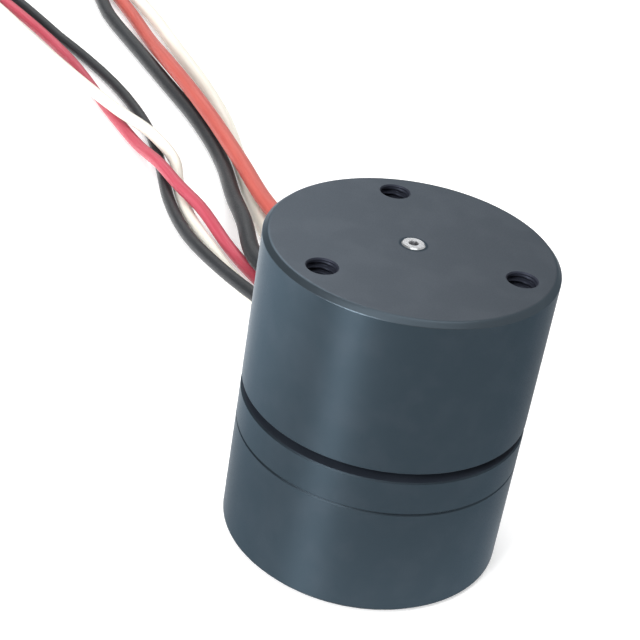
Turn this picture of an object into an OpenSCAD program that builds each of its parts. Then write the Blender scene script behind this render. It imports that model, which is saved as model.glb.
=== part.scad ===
// Small gimbal motor: an outrunner bell over a slotted stator, on ball bearings, with an
// absolute encoder in the housing below it and six silicone leads.
// Millimetres. Z is the shaft's axis, zero is the mounting face, and the leads leave along +Y.

/* [Body] */
// Outside diameter of the bell, the band and the housing
body_d = 25; // [24:0.5:32]
// Height of the rear housing, from its mounting face to the seam
housing_h = 10.6; // [10.4:0.1:14]
// Height of the fixed band, from the seam to the running gap
band_h = 3.25; // [3:0.05:4.5]
// Height of the running gap below the bell
running_gap = 0.85; // [0.5:0.05:1.2]
// Height of the bell
bell_h = 14.3; // [13:0.1:20]
// Chamfer round the top edge of the bell
rim_chamfer = 0.45; // [0.1:0.05:0.7]
// Chamfer round the bottom edge of the housing
foot_chamfer = 0.5; // [0.1:0.05:0.7]
// Chamfer on the edges at the seam and at the running gap
seam_chamfer = 0.12; // [0.05:0.01:0.3]

/* [Bell] */
// Wall of the bell round the flux ring
bell_wall = 1.0; // [0.8:0.05:1.5]
// Thickness of the bell's end plate
cap_t = 2.5; // [2:0.1:3]
// Diameter of the boss under the end plate, which grips the shaft
boss_d = 3.8; // [3:0.1:4.4]
// Length of that boss
boss_h = 2.3; // [1.8:0.1:3]
// Distance from the bell's side to the circle of the threaded holes in the end plate
output_inset = 3; // [2.5:0.1:4]
// Number of threaded holes in the end plate
output_count = 3; // [3:1:6]
// Wall diameter of the M3 threads in the end plate
output_hole_d = 2.5; // [2:0.05:2.7]
// Turn of the first threaded hole from the X axis, in degrees
output_turn = -15; // [-60:1:60]
// Countersink at the mouth of each threaded hole
mouth_chamfer = 0.12; // [0.05:0.01:0.3]

/* [Shaft and bearings] */
// Diameter of the shaft
shaft_d = 2; // [1.8:0.05:2.2]
// Height of the shaft's end above the end plate
shaft_proud = 0.1; // [0.05:0.05:0.5]
// Outside diameter of a bearing
bearing_d = 5; // [4.8:0.1:5.6]
// Width of a bearing
bearing_w = 2.5; // [2.2:0.1:2.6]
// Diameter of a bearing ball
ball_d = 0.8; // [0.7:0.05:0.85]
// Number of balls in a bearing
ball_count = 7; // [6:1:7]
// Wall of the bearing tube
tube_wall = 1.0; // [0.8:0.05:1.3]
// Thickness of the shim between the boss and the upper bearing
shim_t = 0.2; // [0.1:0.05:0.4]
// Height of the spring washer under the lower bearing
washer_t = 0.25; // [0.15:0.05:0.4]
// Thickness of the retaining clip on the shaft
clip_t = 0.4; // [0.3:0.05:0.5]
// Outside diameter of the retaining clip
clip_d = 4; // [3.6:0.1:4.6]

/* [Magnets and stator] */
// Wall of the steel flux ring inside the bell
flux_t = 1.0; // [0.7:0.05:1.3]
// Number of rotor magnets
magnet_count = 14; // [10:2:14]
// Thickness of a rotor magnet
magnet_t = 1.0; // [0.8:0.05:1.3]
// Space between two rotor magnets
magnet_space = 0.2; // [0.1:0.05:0.5]
// Air gap between the magnets and the stator teeth
air_gap = 0.3; // [0.2:0.05:0.5]
// Number of stator teeth
tooth_count = 12; // [9:3:12]
// Width of a stator tooth, as a share of the stator's radius
tooth_share = 0.167; // [0.14:0.001:0.18]
// Radial thickness of a tooth's tip, as a share of the stator's radial room
tip_share = 0.13; // [0.1:0.01:0.16]
// Radial thickness of the yoke round the bearing tube, as a share of the same room
yoke_share = 0.22; // [0.16:0.01:0.25]
// Opening between two tooth tips
slot_opening = 0.9; // [0.6:0.05:1.2]
// Thickness of the insulator on each end of the stator stack
insulator_t = 0.5; // [0.3:0.05:0.7]
// Height of the windings above and below the insulators
overhang = 0.7; // [0.4:0.05:0.8]
// Free height between the band and the windings
lower_space = 1.05; // [0.8:0.05:1.3]
// Free height between the windings and the end plate
upper_space = 1.2; // [0.8:0.05:1.6]

/* [Housing] */
// Wall of the housing
housing_wall = 1.2; // [1:0.05:1.5]
// Thickness of the housing's floor
floor_t = 1.8; // [1.6:0.1:2]
// Distance from the housing's side to the circle of the threaded mounting holes
mount_inset = 4.5; // [4.3:0.1:5]
// Number of threaded mounting holes
mount_count = 4; // [4:1:4]
// Wall diameter of the M2.5 mounting threads
mount_hole_d = 2.05; // [1.6:0.05:2.2]
// Depth of the mounting threads
mount_depth = 2.6; // [2:0.1:2.8]
// Diameter of the bosses round the mounting threads
mount_boss_d = 4.6; // [4:0.1:5]
// Distance from the housing's side to the circle of the screws that hold it to the band
screw_inset = 2.4; // [2.35:0.05:2.5]
// Diameter of the columns that the housing screws run through
column_d = 3.8; // [3.4:0.1:3.8]
// Thread diameter of the housing screws
screw_d = 1.6; // [1.4:0.1:1.6]
// Length of thread that a housing screw has in the band
screw_bite = 2.2; // [1.8:0.1:2.4]
// Depth of a housing screw's head below the mounting face
screw_sink = 0.8; // [0.2:0.1:1]

/* [Encoder] */
// Thickness of the encoder's board
board_t = 1.0; // [0.8:0.1:1.2]
// Level of the board's underside, as a share of the housing's height
board_level = 0.38; // [0.37:0.005:0.4]
// Side of the encoder chip
chip_w = 3.2; // [2.5:0.1:4]
// Height of the encoder chip
chip_h = 0.95; // [0.7:0.05:1]
// Gap between the chip and the magnet over it
sensing_gap = 0.9; // [0.6:0.05:1.1]
// Diameter of the encoder magnet
sensor_magnet_d = 4; // [3.5:0.1:4.4]
// Height of the encoder magnet
sensor_magnet_h = 1.8; // [1.5:0.1:2]
// Wall of the holder round the encoder magnet
holder_wall = 0.8; // [0.5:0.05:1]

/* [Leads] */
// Diameter of a phase lead over its silicone
phase_lead_d = 2; // [1.6:0.1:2.2]
// Diameter of a sensor lead over its silicone
sensor_lead_d = 1.5; // [1.2:0.1:1.6]
// Spacing of the leads side by side in the grommet
lead_pitch = 2.5; // [2.4:0.05:2.7]
// Rubber left between the two rows of leads
row_rib = 0.35; // [0.2:0.05:0.4]
// Rubber round the leads in the housing's wall
grommet_rim = 0.5; // [0.4:0.05:0.7]
// Depth of the grommet's flange outside and inside the wall
grommet_flange = 0.55; // [0.4:0.05:0.7]
// Distance that the grommet stands out of the housing's wall
snout_l = 1.5; // [1.2:0.1:2.5]
// Spacing of the contacts in the phase plug
phase_plug_pitch = 2.54; // [2.54:0.01:3]
// Height of the phase plug
phase_plug_h = 2.6; // [2.5:0.05:3]
// Length of the phase plug
phase_plug_l = 14; // [10:0.5:16]
// Spacing of the contacts in the sensor plug
sensor_plug_pitch = 2; // [2:0.05:2.5]
// Height of the sensor plug
sensor_plug_h = 3.6; // [3:0.1:4.5]
// Length of the sensor plug
sensor_plug_l = 8; // [6:0.5:10]

/* [Hidden] */
$fn = 96;

// Overrun of every cut past the face that it opens
cut = 0.5;
// Radial clearance of a pressed or glued fit
press = 0.01;
// Radial clearance of a ball in its grooves and of a screw in its thread
slip = 0.02;
// Clearance of parts that locate each other
locate = 0.05;
// Clearance between parts that never touch
free = 0.3;
// A quarter, a half and a full turn, in degrees
quarter = 90;
half = 180;
turn = 360;

// Levels along the shaft, from the mounting face up
seam_z = housing_h;
band_top = seam_z + band_h;
bell_bottom = band_top + running_gap;
bell_top = bell_bottom + bell_h;
ceiling_z = bell_top - cap_t;
winding_bottom = band_top + lower_space;
winding_top = ceiling_z - upper_space;
stack_bottom = winding_bottom + overhang + insulator_t;
stack_top = winding_top - overhang - insulator_t;
boss_bottom = ceiling_z - boss_h;
upper_bearing_z = boss_bottom - shim_t - bearing_w;
tube_top = boss_bottom - shim_t;
// Depth of the lower bearing above the seam
lower_bearing_lift = 0.7;
lower_bearing_z = seam_z + lower_bearing_lift;
washer_z = lower_bearing_z - washer_t;
clip_z = washer_z - clip_t;

// Radii of the body, from the outside in
body_r = body_d / 2;
bell_in_r = body_r - bell_wall;
flux_in_r = bell_in_r - flux_t;
cavity_r = body_r - housing_wall;
output_pcd = body_d - 2 * output_inset;
mount_pcd = body_d - 2 * mount_inset;
screw_pcd = body_d - 2 * screw_inset;
// Play of the glue behind a magnet's corners
magnet_seat_r = flux_in_r - slip;
magnet_half_angle = half / magnet_count;
magnet_start_w = 2 * (magnet_seat_r - magnet_t) * tan(magnet_half_angle) - magnet_space;
magnet_start_back = sqrt(pow(magnet_seat_r, 2) - pow(magnet_start_w / 2, 2));
magnet_w = 2 * (magnet_start_back - magnet_t) * tan(magnet_half_angle) - magnet_space;
magnet_back = sqrt(pow(magnet_seat_r, 2) - pow(magnet_w / 2, 2));
magnet_face = magnet_back - magnet_t;
core_r = magnet_face - air_gap;
// Reach of the magnets past each end of the stator stack
magnet_reach = 0.5;
magnet_bottom = stack_bottom - magnet_reach;
magnet_top = stack_top + magnet_reach;
// Reach of the flux ring past each end of the magnets
flux_reach = 0.4;
flux_bottom = magnet_bottom - flux_reach;
flux_top = magnet_top + flux_reach;
// Step in the bell that the flux ring is pushed up against
flux_step = 0.5;

// Bearings
shaft_r = shaft_d / 2;
race_bore_r = shaft_r + press;
race_out_r = bearing_d / 2;
tube_in_r = race_out_r + press;
tube_r = tube_in_r + tube_wall;
ball_r = ball_d / 2;
ball_path_r = (race_bore_r + race_out_r) / 2;
groove_r = ball_r + slip;
// Share of the ball's radius that the race shoulders stand off the ball's centre
shoulder_share = 0.7;
shoulder_r = ball_r * shoulder_share;
inner_shoulder_r = ball_path_r - shoulder_r;
outer_shoulder_r = ball_path_r + shoulder_r;
// Thickness of a bearing shield
shield_t = 0.12;
// Depth of a shield's face inside the bearing's end
shield_sink = 0.06;
// Web of the cage above and below its balls
cage_web = 0.16;
cage_t = ball_d / 3;
// Wall of the shoulder between the two bearing seats, which stops the outer races
bearing_stop = 0.6;

// Shaft details
shaft_chamfer = 0.1;
centre_drill_d = 0.9;
centre_drill_depth = 0.5;
clip_groove_depth = 0.25;
clip_groove_play = 0.05;

// Stator details
seat_shoulder = 0.5;
tooth_pitch = turn / tooth_count;
core_bore_r = tube_r + press;
stator_room = core_r - core_bore_r;
tooth_w = core_r * tooth_share;
tip_t = stator_room * tip_share;
yoke_t = stator_room * yoke_share;
slot_out_r = core_r - tip_t;
yoke_r = core_bore_r + yoke_t;
// Cover of the insulators round each tooth, and their inset from the tips
liner = 0.15;
coil_clear = 0.08;
coil_inner_r = yoke_r + liner + coil_clear;
coil_outer_r = (slot_out_r - coil_clear) * cos(tooth_pitch / 2);
coil_corner = 0.45;
coil_skin = 0.05;
phase_count = 3;

// Band details
flange_t = 2.0;
flange_bottom = band_top - flange_t;
lip_r = bell_in_r - free;
lip_t = 0.7;
lip_h = 0.7;
spigot_t = 0.5;
spigot_h = 1.0;
spigot_z = seam_z - spigot_h;
spigot_in_r = cavity_r - locate - spigot_t;
tube_skirt = 0.3;
screw_turn = 45;
screw_count = 4;
// Depth of thread left over past a screw's tip
thread_spare = 0.3;
tail_hole_play = 0.15;

// Housing screws
screw_r = screw_d / 2;
screw_l = seam_z + screw_bite - screw_sink;
screw_hole_r = screw_r + slip;
screw_pass_r = screw_r + locate * 2;
screw_head_r = screw_d * 0.95;
screw_head_h = screw_d * 0.6;
screw_key_d = screw_d * 0.65;
screw_key_depth = screw_d * 0.35;

// Encoder levels and places
board_z = housing_h * board_level;
board_top = board_z + board_t;
board_r = cavity_r - grommet_flange - free;
chip_top = board_top + chip_h;
sensor_magnet_z = chip_top + sensing_gap;
sensor_magnet_r = sensor_magnet_d / 2;
sensor_magnet_proud = 0.1;
holder_z = sensor_magnet_z + sensor_magnet_proud;
holder_r = sensor_magnet_r + press + holder_wall;
holder_top = clip_z - free;
shaft_bottom = sensor_magnet_z + sensor_magnet_h + locate;
post_d = 2.6;
post_circle_r = board_r - 2.85;
post_turns = [22.5, 157.5, 292.5];
board_screw_d = 1.4;
board_screw_head_d = 2.6;
board_screw_head_h = 0.8;
board_screw_bite = 1.6;
board_screw_key_d = 0.9;
mount_boss_h = mount_depth + 0.6;

// Leads in the grommet
phase_lead_r = phase_lead_d / 2;
sensor_lead_r = sensor_lead_d / 2;
row_clear = 0.15;
sensor_row_z = board_top + row_clear + sensor_lead_r;
phase_row_z = sensor_row_z + sensor_lead_r + row_rib + phase_lead_r;
lead_places = [-lead_pitch, 0, lead_pitch];
grommet_w = 2 * (lead_pitch + phase_lead_r + grommet_rim);
grommet_low = sensor_row_z - sensor_lead_r - grommet_rim;
grommet_high = phase_row_z + phase_lead_r + grommet_rim;
grommet_face = body_r + snout_l;
grommet_edge = 0.6;
grommet_round = 0.8;
spigot_notch_w = grommet_w + 2 * (grommet_edge + free);
tail_y = 7;
tail_end_y = body_r - locate;
tail_bend_r = 1.3;
tail_top = band_top + lip_h;
joint_y = 7.6;
joint_low_r = 0.8;
joint_high_r = 0.4;

// Board components: place, size and height of each, clear of the chip and the magnet holder
component_places = [
    [-5.4, -1.6], [-5.4, 0], [-5.4, 1.6], [5.4, -1.6], [5.4, 0], [5.4, 1.6], [-1.5, -5.2], [1.5, -5.2]
];
component_size = [1.0, 0.5, 0.5];
regulator_place = [0, -7.6];
regulator_size = [2.9, 1.6, 1.1];

// Plugs: the middle of each rear face, and its heading in degrees from the X axis
phase_plug_at = [-57, 124];
phase_plug_heading = 123.5;
sensor_plug_at = [-70.5, 108.5];
sensor_plug_heading = 135;
plug_side = 1.0;
plug_latch = 0.3;
contact_w = 0.64;
contact_play = 0.2;
contact_inset = 1.0;
// Straight run of each lead at the grommet and at its plug
straight_run = 4;

// Routes of the free leads between their straight ends, laid out on the table behind the motor
phase_red_route = [
    [1, 25, 5.8], [-3.6, 34, 4.4], [-11.5, 44, 3.3], [-17.8, 52.8, 3.15], [-23.3, 63.5, 3.15],
    [-28.9, 74.2, 3.1], [-34.4, 83.8, 3.05], [-39.2, 92, 2.75], [-43.6, 101.2, 1.4], [-49, 111.5, 1]
];
phase_white_route = [
    [-1.5, 25, 5.2], [-6, 34, 2.7], [-12, 42.5, 1.4], [-17, 49.5, 1], [-20, 56.5, 1],
    [-23.5, 66.5, 1], [-28, 79, 1], [-33, 89.5, 1], [-39.5, 101, 1], [-46, 112.5, 1]
];
phase_black_route = [
    [-4.5, 25, 5.6], [-10, 32.5, 3.4], [-17, 40, 2.75], [-20, 48.3, 2.85], [-22.5, 55.5, 2],
    [-26, 66.5, 1], [-31.5, 77.5, 1], [-38.5, 88.5, 1], [-45, 98.5, 1], [-52, 109.5, 1]
];
sensor_red_route = [
    [0.2, 23.8, 3.3], [-6, 30.8, 1.1], [-15.2, 37.7, 0.75], [-20.6, 44.4, 0.9], [-25.6, 50.6, 2.3],
    [-29.3, 55, 2.45], [-32.6, 59.6, 2.45], [-36.8, 66, 1.3], [-42, 74, 0.85], [-56, 94.5, 0.8]
];
sensor_white_route = [
    [-2.2, 23.5, 3.2], [-8.5, 29.3, 1], [-16.4, 35.2, 0.75], [-22.9, 44.2, 0.75], [-27.1, 51.3, 0.75],
    [-29.9, 58.3, 0.85], [-31.5, 62.9, 1.75], [-34.7, 66.5, 2.6], [-41.5, 72.6, 2.7], [-57.5, 91.5, 1.5]
];
sensor_black_route = [
    [-5, 22.8, 4], [-10.5, 28, 2.6], [-16.7, 33.3, 2.4], [-21.6, 39, 1.8], [-26, 45.4, 1.15],
    [-30, 53.6, 0.85], [-33, 62.3, 0.8], [-36.2, 70.7, 0.75], [-40, 77.8, 0.75], [-56.5, 98, 0.75]
];
lead_sides = 8;

// Colours, as the photograph shows them
anodised = [0.24, 0.27, 0.31];
bright_steel = [0.78, 0.79, 0.8];
dull_steel = [0.5, 0.51, 0.53];
magnet_grey = [0.66, 0.67, 0.69];
copper = [0.76, 0.42, 0.2];
laminate = [0.38, 0.39, 0.42];
insulator_white = [0.86, 0.86, 0.82];
board_green = [0.05, 0.28, 0.16];
chip_black = [0.08, 0.08, 0.09];
rubber_black = [0.1, 0.1, 0.11];
lead_red = [0.86, 0.22, 0.2];
lead_white = [0.93, 0.93, 0.92];
lead_black = [0.12, 0.12, 0.13];
gold = [0.83, 0.68, 0.32];
solder = [0.72, 0.73, 0.75];

// Shapes used by more than one piece

// Ring with square edges, standing on level z
module ring(outer, inner, h, z) {
    translate([0, 0, z]) difference() {
        cylinder(r = outer, h = h);
        translate([0, 0, -cut]) cylinder(r = inner, h = h + 2 * cut);
    }
}

// Round bar with a chamfer at its bottom and at its top
module turned(r, h, low, high, z) {
    translate([0, 0, z]) rotate_extrude() polygon([
        [0, 0], [r - low, 0], [r, low], [r, h - high], [r - high, h], [0, h]
    ]);
}

// Children copied round the Z axis on a circle
module around(count, radius, start) {
    for (i = [0 : count - 1]) {
        rotate([0, 0, start + i * turn / count]) translate([radius, 0, 0]) children();
    }
}

// Box centred in X and Y, standing on level z
module block(size, z) {
    translate([-size[0] / 2, -size[1] / 2, z]) cube(size);
}

// Rotor: bell, flux ring, magnets and shaft

module bell_body() {
    translate([0, 0, bell_bottom]) rotate_extrude() polygon([
        [0, boss_bottom - bell_bottom], [boss_d / 2, boss_bottom - bell_bottom],
        [boss_d / 2, ceiling_z - bell_bottom], [bell_in_r - flux_step, ceiling_z - bell_bottom],
        [bell_in_r - flux_step, flux_top + press - bell_bottom], [bell_in_r, flux_top + press - bell_bottom],
        [bell_in_r, seam_chamfer], [bell_in_r + seam_chamfer, 0],
        [body_r - seam_chamfer, 0], [body_r, seam_chamfer],
        [body_r, bell_h - rim_chamfer], [body_r - rim_chamfer, bell_h], [0, bell_h]
    ]);
}

module rotor_bell() {
    color(anodised) difference() {
        bell_body();
        translate([0, 0, boss_bottom - cut])
            cylinder(r = shaft_r + press, h = bell_top - boss_bottom + 2 * cut);
        around(output_count, output_pcd / 2, output_turn) {
            translate([0, 0, ceiling_z - cut]) cylinder(d = output_hole_d, h = cap_t + 2 * cut);
            translate([0, 0, bell_top - mouth_chamfer]) cylinder(
                r1 = output_hole_d / 2, r2 = output_hole_d / 2 + mouth_chamfer + cut, h = mouth_chamfer + cut
            );
        }
    }
}

module flux_ring() {
    color(dull_steel) ring(bell_in_r - press, flux_in_r, flux_top - flux_bottom, flux_bottom);
}

module rotor_magnets() {
    color(magnet_grey) around(magnet_count, magnet_face + magnet_t / 2, 0)
        block([magnet_t, magnet_w, magnet_top - magnet_bottom], magnet_bottom);
}

module motor_shaft() {
    color(bright_steel) difference() {
        turned(shaft_r, bell_top + shaft_proud - shaft_bottom, shaft_chamfer, shaft_chamfer, shaft_bottom);
        ring(shaft_r + cut, shaft_r - clip_groove_depth, clip_t + clip_groove_play, clip_z);
        translate([0, 0, bell_top + shaft_proud - centre_drill_depth])
            cylinder(r1 = 0, r2 = centre_drill_d / 2, h = centre_drill_depth + slip);
    }
}

module shaft_shim() {
    color(bright_steel) ring(inner_shoulder_r, shaft_r + slip, shim_t, boss_bottom - shim_t);
}

// Bearings: each part is drawn for a bearing whose lower face is at level z

module race_groove(z) {
    translate([0, 0, z + bearing_w / 2]) rotate_extrude() translate([ball_path_r, 0]) circle(r = groove_r);
}

module inner_race(z) {
    difference() {
        ring(inner_shoulder_r, race_bore_r, bearing_w, z);
        race_groove(z);
    }
}

module outer_race(z) {
    difference() {
        ring(race_out_r, outer_shoulder_r, bearing_w, z);
        race_groove(z);
    }
}

module ball_set(z) {
    around(ball_count, ball_path_r, 0) translate([0, 0, z + bearing_w / 2]) sphere(r = ball_r, $fn = 32);
}

module ball_cage(z) {
    cage_h = 2 * (groove_r + cage_web);
    difference() {
        ring(ball_path_r + cage_t / 2, ball_path_r - cage_t / 2, cage_h, z + (bearing_w - cage_h) / 2);
        around(ball_count, ball_path_r, 0)
            translate([0, 0, z + bearing_w / 2]) sphere(r = groove_r, $fn = 32);
    }
}

module shield_pair(z) {
    for (level = [z + shield_sink, z + bearing_w - shield_sink - shield_t]) {
        ring(outer_shoulder_r - press, inner_shoulder_r + locate, shield_t, level);
    }
}

module upper_bearing_inner_race() {
    color(bright_steel) inner_race(upper_bearing_z);
}

module upper_bearing_balls() {
    color(bright_steel) ball_set(upper_bearing_z);
}

module upper_bearing_cage() {
    color(gold) ball_cage(upper_bearing_z);
}

module upper_bearing_outer_race() {
    color(bright_steel) outer_race(upper_bearing_z);
}

module upper_bearing_shields() {
    color(dull_steel) shield_pair(upper_bearing_z);
}

module lower_bearing_inner_race() {
    color(bright_steel) inner_race(lower_bearing_z);
}

module lower_bearing_balls() {
    color(bright_steel) ball_set(lower_bearing_z);
}

module lower_bearing_cage() {
    color(gold) ball_cage(lower_bearing_z);
}

module lower_bearing_outer_race() {
    color(bright_steel) outer_race(lower_bearing_z);
}

module lower_bearing_shields() {
    color(dull_steel) shield_pair(lower_bearing_z);
}

// Ring that presses on the lower inner race, held up by the clip
module spring_washer() {
    color(dull_steel) ring(inner_shoulder_r, shaft_r + slip, washer_t, washer_z);
}

// Open clip with three prongs that reach into the shaft's groove
module retaining_clip() {
    clip_r = clip_d / 2;
    hoop = clip_r - shaft_r;
    root_r = shaft_r - clip_groove_depth + slip;
    color(dull_steel) translate([0, 0, clip_z]) linear_extrude(clip_t) difference() {
        union() {
            difference() {
                circle(r = clip_r);
                circle(r = clip_r - hoop / 2);
            }
            for (a = [-quarter, quarter, half]) {
                rotate(a) translate([root_r, -hoop / 4]) square([clip_r - hoop / 4 - root_r, hoop / 2]);
            }
        }
        circle(r = root_r);
        translate([0, -shaft_r]) square([clip_r + cut, shaft_d]);
    }
}

// Fixed parts: band with bearing tube, stack, insulators and windings

// Turned shape of the base: spigot, band, dust lip, stator seat and the tube with its bearing seats
module base_turned() {
    spigot_r = spigot_in_r + spigot_t;
    stop_r = tube_in_r - bearing_stop;
    skirt_z = lower_bearing_z - tube_skirt;
    lower_stop_z = lower_bearing_z + bearing_w;
    rotate_extrude() polygon([
        [spigot_in_r, spigot_z], [spigot_r, spigot_z], [spigot_r, seam_z],
        [body_r - seam_chamfer, seam_z], [body_r, seam_z + seam_chamfer],
        [body_r, band_top - seam_chamfer], [body_r - seam_chamfer, band_top],
        [lip_r, band_top], [lip_r, band_top + lip_h],
        [lip_r - lip_t, band_top + lip_h], [lip_r - lip_t, band_top],
        [tube_r + seat_shoulder, band_top], [tube_r + seat_shoulder, stack_bottom],
        [tube_r, stack_bottom], [tube_r, tube_top], [tube_in_r, tube_top],
        [tube_in_r, upper_bearing_z], [stop_r, upper_bearing_z],
        [stop_r, lower_stop_z], [tube_in_r, lower_stop_z],
        [tube_in_r, skirt_z], [tube_r, skirt_z],
        [tube_r, flange_bottom], [spigot_in_r, flange_bottom]
    ]);
}

module stator_base() {
    color(anodised) difference() {
        union() {
            base_turned();
            around(screw_count, screw_pcd / 2, screw_turn)
                translate([0, 0, seam_z]) cylinder(d = column_d, h = flange_bottom - seam_z + cut);
        }
        around(screw_count, screw_pcd / 2, screw_turn) {
            translate([0, 0, spigot_z - cut]) cylinder(d = column_d + 2 * free, h = spigot_h + cut);
            translate([0, 0, seam_z - cut]) cylinder(r = screw_hole_r, h = screw_bite + thread_spare + cut);
        }
        translate([0, cavity_r, 0]) block([spigot_notch_w, 2 * cavity_r, spigot_h + cut], spigot_z - cut);
        for (x = lead_places) {
            translate([x, tail_y, flange_bottom - cut])
                cylinder(r = phase_lead_r + tail_hole_play, h = flange_t + lip_h + 2 * cut);
        }
    }
}

// Slot between two teeth: parallel tooth sides, round yoke, round tip and a narrow mouth
module slot_shape(side, inner, outer) {
    apex = (tooth_w / 2 + side) / sin(tooth_pitch / 2);
    reach = core_r + cut;
    intersection() {
        difference() {
            circle(r = outer);
            circle(r = inner);
        }
        polygon([
            [apex, 0],
            [apex + reach * cos(tooth_pitch / 2), reach * sin(tooth_pitch / 2)],
            [apex + reach * cos(tooth_pitch / 2), -reach * sin(tooth_pitch / 2)]
        ]);
    }
}

module core_shape() {
    difference() {
        circle(r = core_r);
        circle(r = core_bore_r);
        for (i = [0 : tooth_count - 1]) {
            rotate((i + 0.5) * tooth_pitch) {
                slot_shape(0, yoke_r, slot_out_r);
                translate([slot_out_r - cut, -slot_opening / 2]) square([tip_t + 2 * cut, slot_opening]);
            }
        }
    }
}

module stator_core() {
    color(laminate) translate([0, 0, stack_bottom]) linear_extrude(stack_top - stack_bottom) core_shape();
}

// Ring with one arm over each tooth and a guard at its end, standing on level z
module insulator(z) {
    guard_t = tip_t / 2;
    translate([0, 0, z]) linear_extrude(insulator_t) difference() {
        circle(r = slot_out_r + guard_t);
        circle(r = tube_r + seat_shoulder + locate);
        for (i = [0 : tooth_count - 1]) {
            rotate((i + 0.5) * tooth_pitch) {
                slot_shape(liner, yoke_r + liner, slot_out_r);
                translate([slot_out_r - cut, -slot_opening / 2]) square([guard_t + 2 * cut, slot_opening]);
            }
        }
    }
}

module upper_insulator() {
    color(insulator_white) insulator(stack_top);
}

module lower_insulator() {
    color(insulator_white) insulator(stack_bottom - insulator_t);
}

// Half width of a coil at a radius, so that two neighbours keep their clearance
function coil_half(r) = r * tan(tooth_pitch / 2) - coil_clear;

// Thin rounded slab across a tooth at a radius, as high as the windings
module coil_slab(r) {
    half_w = coil_half(r);
    translate([r, 0, (winding_bottom + winding_top) / 2]) rotate([quarter, 0, quarter])
        linear_extrude(coil_skin) offset(r = coil_corner, $fn = 16) square(
            [2 * (half_w - coil_corner), winding_top - winding_bottom - 2 * coil_corner], center = true
        );
}

// Coil wound round one tooth, with the tooth and its insulators left free
module coil() {
    difference() {
        hull() {
            coil_slab(coil_inner_r);
            coil_slab(coil_outer_r - coil_skin);
        }
        translate([core_r / 2, 0, 0]) block(
            [core_r, tooth_w + 2 * (liner + slip), stack_top - stack_bottom + 2 * (insulator_t + slip)],
            stack_bottom - insulator_t - slip
        );
    }
}

// One phase: every third tooth
module winding(phase) {
    color(copper) for (i = [phase : phase_count : tooth_count - 1]) {
        rotate([0, 0, i * tooth_pitch]) coil();
    }
}

module winding_phase_a() {
    winding(0);
}

module winding_phase_b() {
    winding(1);
}

module winding_phase_c() {
    winding(2);
}

// Rear housing and its screws

module housing_outside() {
    turned(body_r, housing_h, foot_chamfer, seam_chamfer, 0);
}

module housing_hollow() {
    difference() {
        translate([0, 0, floor_t]) cylinder(r = cavity_r, h = housing_h);
        around(screw_count, screw_pcd / 2, screw_turn) cylinder(d = column_d, h = housing_h + cut);
        around(mount_count, mount_pcd / 2, 0) cylinder(d = mount_boss_d, h = mount_boss_h);
        for (a = post_turns) {
            rotate([0, 0, a]) translate([post_circle_r, 0, 0]) cylinder(d = post_d, h = board_z);
        }
    }
}

// Outline of the grommet's window in the housing's wall, grown by an edge
module window_outline(edge) {
    translate([0, (grommet_low + grommet_high) / 2]) offset(r = grommet_round, $fn = 32) square([
        grommet_w + 2 * (edge - grommet_round), grommet_high - grommet_low + 2 * (edge - grommet_round)
    ], center = true);
}

module window_prism(edge, from, to) {
    translate([0, to, 0]) rotate([quarter, 0, 0]) linear_extrude(to - from) window_outline(edge);
}

module rear_housing() {
    head_seat = screw_sink + screw_head_h;
    color(anodised) difference() {
        housing_outside();
        housing_hollow();
        translate([0, body_r, 0])
            block([grommet_w, 4 * housing_wall, grommet_high - grommet_low], grommet_low);
        around(screw_count, screw_pcd / 2, screw_turn) {
            translate([0, 0, -cut]) cylinder(r = screw_pass_r, h = housing_h + 2 * cut);
            translate([0, 0, -cut]) cylinder(r = screw_head_r + locate, h = screw_sink + cut);
            translate([0, 0, screw_sink])
                cylinder(r1 = screw_head_r + locate, r2 = screw_pass_r, h = head_seat - screw_sink);
        }
        around(mount_count, mount_pcd / 2, 0) {
            translate([0, 0, -cut]) cylinder(d = mount_hole_d, h = mount_depth + cut);
            translate([0, 0, -cut]) cylinder(
                r1 = mount_hole_d / 2 + mouth_chamfer + cut, r2 = mount_hole_d / 2, h = mouth_chamfer + cut
            );
        }
        for (a = post_turns) {
            rotate([0, 0, a]) translate([post_circle_r, 0, board_z - board_screw_bite - free])
                cylinder(r = board_screw_d / 2 + slip, h = board_screw_bite + free + cut);
        }
    }
}

module housing_screws() {
    color(dull_steel) around(screw_count, screw_pcd / 2, screw_turn) difference() {
        union() {
            translate([0, 0, screw_sink]) cylinder(r = screw_r, h = screw_l);
            translate([0, 0, screw_sink]) cylinder(r1 = screw_head_r, r2 = screw_r, h = screw_head_h);
        }
        translate([0, 0, screw_sink - cut]) cylinder(d = screw_key_d, h = screw_key_depth + cut, $fn = 6);
    }
}

// Encoder: magnet on the shaft's lower end over a chip on a round board

module magnet_holder() {
    color(gold) difference() {
        translate([0, 0, holder_z]) cylinder(r = holder_r, h = holder_top - holder_z);
        translate([0, 0, holder_z - cut])
            cylinder(r = sensor_magnet_r + press, h = sensor_magnet_h - sensor_magnet_proud + locate + cut);
        translate([0, 0, holder_z - cut]) cylinder(r = shaft_r + press, h = holder_top - holder_z + 2 * cut);
    }
}

module encoder_magnet() {
    color(magnet_grey) translate([0, 0, sensor_magnet_z]) cylinder(r = sensor_magnet_r, h = sensor_magnet_h);
}

module encoder_board() {
    color(board_green) difference() {
        translate([0, 0, board_z]) cylinder(r = board_r, h = board_t);
        around(screw_count, screw_pcd / 2, screw_turn)
            translate([0, 0, board_z - cut]) cylinder(d = column_d + 2 * free, h = board_t + 2 * cut);
        for (a = post_turns) {
            rotate([0, 0, a]) translate([post_circle_r, 0, board_z - cut])
                cylinder(r = board_screw_d / 2 + locate, h = board_t + 2 * cut);
        }
    }
}

module encoder_chip() {
    color(chip_black) block([chip_w, chip_w, chip_h], board_top);
}

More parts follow.
